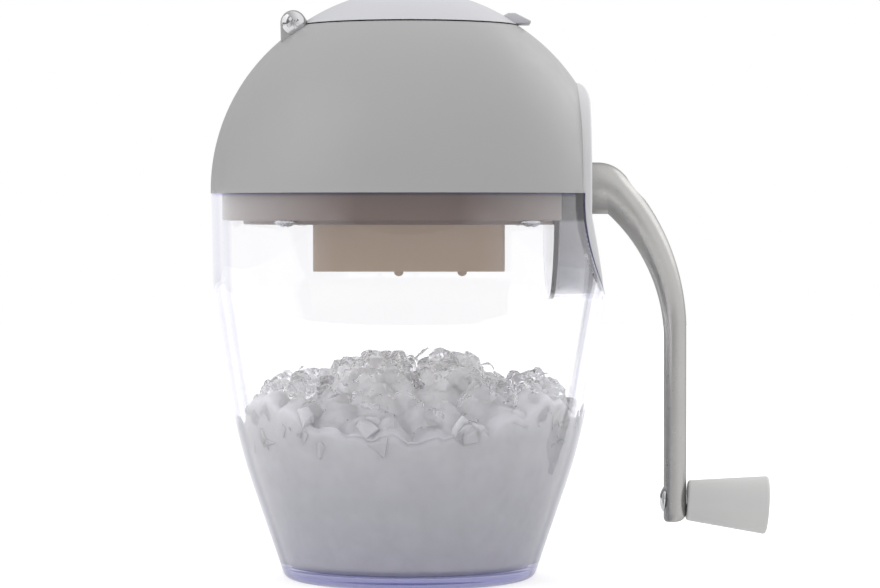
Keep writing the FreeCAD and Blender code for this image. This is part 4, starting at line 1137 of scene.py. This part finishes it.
def iceGrains(name, clearness):
    material, made = shaderTree(name)
    where = objectSpot(made)
    grains = add(made, "TexVoronoi", {"Vector": where, "Scale": 230.0})
    patches = add(made, "TexVoronoi", {"Vector": where, "Scale": 110.0}, feature="SMOOTH_F1")
    level = ranged(made, patches.outputs["Distance"], 1.03, 0.97, 0.1, 0.6)
    # the ice's colour carries painted light by height, brightest at the top of the heap
    cloudy = add(made, "BsdfPrincipled", {
        "Base Color": drifting(made, level, heightTint(made, iceLightAndShade)), "Roughness": 0.3, "IOR": 1.31,
        "Normal": bumped(made, grains.outputs["Distance"], 0.35, 0.5),
        "Subsurface Weight": 0.5, "Subsurface Radius": (1.0, 1.0, 1.05), "Subsurface Scale": 0.006,
        "Sheen Weight": 0.35, "Sheen Roughness": 0.45})  # light comes through where the ice is thin
    glassy = add(made, "BsdfPrincipled", {
        "Base Color": (0.995, 0.995, 1, 1), "Roughness": 0.02, "IOR": 1.18, "Transmission Weight": 1.0})
    spots = ranged(made, spotNoise(made, 260), clearness - 0.03, clearness + 0.03, 0.35, 0.65)
    rays = add(made, "LightPath").outputs
    deep = calc(made, "GREATER_THAN", rays["Transmission Depth"], mostPasses)
    lightWay = calc(made, "MAXIMUM", rays["Is Shadow Ray"], deep)
    through = calc(made, "MULTIPLY", lightWay, clearness)
    straight = add(made, "BsdfTransparent", {"Color": (0.99, 0.99, 0.995, 1)})
    return surface(material, blend(made, through, blend(made, spots, cloudy, glassy), straight))


finishes["ice"] = iceGrains("packed ice", clearness=0.0)
finishes["clearIce"] = iceGrains("clear ice", clearness=0.97)


def scattered(piece, chips, low, seed, finish, density, smallest, largest, sink=0.0):
    return grown(piece, chips, **{
        "Density": density, "Smallest": smallest * mm, "Largest": largest * mm, "Sink": sink * mm,
        "Lowest": low, "Seed": seed, "Finish": finishes[finish]})


def makeIcePile():
    kinds = bpy.data.collections.new("chip kinds")
    for kind in range(chipSizes["kinds"]):
        kinds.objects.link(makeChip(kind + 11))
    chips = makeChipTree(kinds)
    heap = makeIce()
    low = (jarSizes["bellyHeight"] + iceSizes["frontRise"] - iceSizes["chipDrop"]) * mm
    share = chipSizes["layerShare"]
    layers = []
    for layer, (rise, *sizes) in enumerate(chipLayers):  # loose chips on the heap
        sheet = newObject(f"layer_{layer}", heap.data.copy())
        move(sheet, at(0, 0, rise) @ Matrix.Diagonal((share, share, 1, 1)))
        layers.append(scattered(sheet, chips, low + rise * mm, 4 + layer, "clearIce", *sizes))
    top = fused(joined("ice_chips_top", *layers), chipSizes["fuseStep"], chipSizes["faceShare"])
    side = newObject("ice_chips_side", heap.data.copy())
    scattered(side, chips, 0.058, seed=9, finish="ice", density=9000.0, smallest=8.0, largest=15.0, sink=3.5)
    for piece in (top, side):
        keepInside(piece)
    for chip in list(kinds.objects):
        bpy.data.objects.remove(chip)
    bpy.data.collections.remove(kinds)
    dress(heap, "ice", "jar", "ice", "crushed_ice")
    dress(top, "clearIce", "jar", "ice")
    dress(side, "ice", "jar", "ice")
    return heap, top, side


def fused(piece, step, share):  # overlapping chips freeze into one body
    piece.data.materials.clear()
    freeze = piece.modifiers.new("fused", "REMESH")
    freeze.mode = "VOXEL"
    freeze.voxel_size = step * mm
    thin = piece.modifiers.new("thinned", "DECIMATE")  # flat sides need few faces
    thin.ratio = share
    settle(piece)
    return smooth(piece, angle=50)


def keepInside(piece):  # wet chips lie flat against the jar's wall
    sides = {}
    for point in piece.data.vertices:
        x, y, z = point.co / mm
        step = round(z)
        if step not in sides:
            sides[step] = innerRadius(max(step, jarSizes["floor"])) + iceSizes["wetFilm"]
        reach = math.hypot(x, y)
        if reach > sides[step]:
            point.co.x *= sides[step] / reach
            point.co.y *= sides[step] / reach
        point.co.z = max(point.co.z, (jarSizes["floor"] + iceSizes["chipFloorGap"]) * mm)


icePieces = makeIcePile()
print("ice made", [len(piece.data.polygons) for piece in icePieces])


# floor, light and camera

studio = {
    "floorSide": 3000, "floorGlow": 0.38, "lens": 133.5, "sensor": 36, "lampSize": 0.9, "lampPower": 2.5,
    "cameraSpot": (0.0128, -1.37, 0.154), "cameraTarget": (0.0128, 0, 0.119),
}
lamps = {  # where each lamp stands and where it points
    "left softbox": ((-0.9, -0.5, 0.7), (0, 0, 0.15)), "right softbox": ((0.9, 0.6, 0.7), (0.05, 0, 0.12)),
}


def makeFloor():
    side = studio["floorSide"]
    corners = [place(x, y, 0) for x, y in ((-side, -side), (side, -side), (side, side), (-side, side))]
    floor = meshObject("floor", corners, [[0, 1, 2, 3]])
    material, made = shaderTree("pale floor")
    paper = add(made, "BsdfDiffuse", {"Color": (0.86, 0.86, 0.86, 1)})
    rays = add(made, "LightPath").outputs
    seen = fold(made, "MAXIMUM", rays["Is Camera Ray"], rays["Is Singular Ray"], rays["Is Transmission Ray"])
    glow = add(made, "Emission", {"Strength": calc(made, "MULTIPLY", seen, studio["floorGlow"])})
    both = add(made, "AddShader", {0: paper, 1: glow})
    floor.data.materials.append(surface(material, both))


def makeWorld():  # bright behind and above, dim in front, and plain white to the camera
    world = bpy.data.worlds.new("studio")
    scene.world = world
    world.use_nodes = True
    made = world.node_tree
    made.nodes.clear()
    x, y, z = split(made, add(made, "TexCoord").outputs["Generated"])
    lit = calc(made, "ADD", ranged(made, y, 0.5, 0.85, start=-0.9, end=0.6),
               ranged(made, z, 0.0, 0.5, start=0.2, end=1.0))
    slant = calc(made, "ADD", calc(made, "MULTIPLY", y, 0.1), calc(made, "MULTIPLY", z, 0.5))
    satin = ranged(made, calc(made, "ADD", x, slant), 0.1, 1.0, start=-0.6, end=0.6)
    rays = add(made, "LightPath").outputs
    mirrored = calc(made, "MAXIMUM", satin, rays["Is Singular Ray"])  # clear plastic mirrors plain white
    level = add(made, "Mix", {"Factor": rays["Is Glossy Ray"], "A": lit, "B": mirrored}, data_type="FLOAT")
    seen = calc(made, "MAXIMUM", rays["Is Camera Ray"], rays["Is Transmission Ray"])
    strength = add(made, "Mix", {"Factor": seen, "A": level, "B": 1.0}, data_type="FLOAT")
    surround = add(made, "Background", {"Color": (1, 1, 1, 1), "Strength": strength})
    add(made, "OutputWorld", {"Surface": surround})


def aimed(name, data, spot, target):
    holder = newObject(name, data)
    holder.location = spot
    holder.rotation_mode = "QUATERNION"
    holder.rotation_quaternion = (Vector(target) - Vector(spot)).to_track_quat("-Z", "Y")
    return holder


def makeLamp(name):
    light = bpy.data.lights.new(name, "AREA")
    light.size = studio["lampSize"]
    light.energy = studio["lampPower"]
    aimed(name, light, *lamps[name])


def makeCamera():
    data = bpy.data.cameras.new("camera")
    data.lens = studio["lens"]
    data.sensor_width = studio["sensor"]
    scene.camera = aimed("camera", data, studio["cameraSpot"], studio["cameraTarget"])


makeFloor()
makeWorld()
for name in lamps:
    makeLamp(name)
makeCamera()
scene.view_settings.view_transform = "Standard"

print("done")
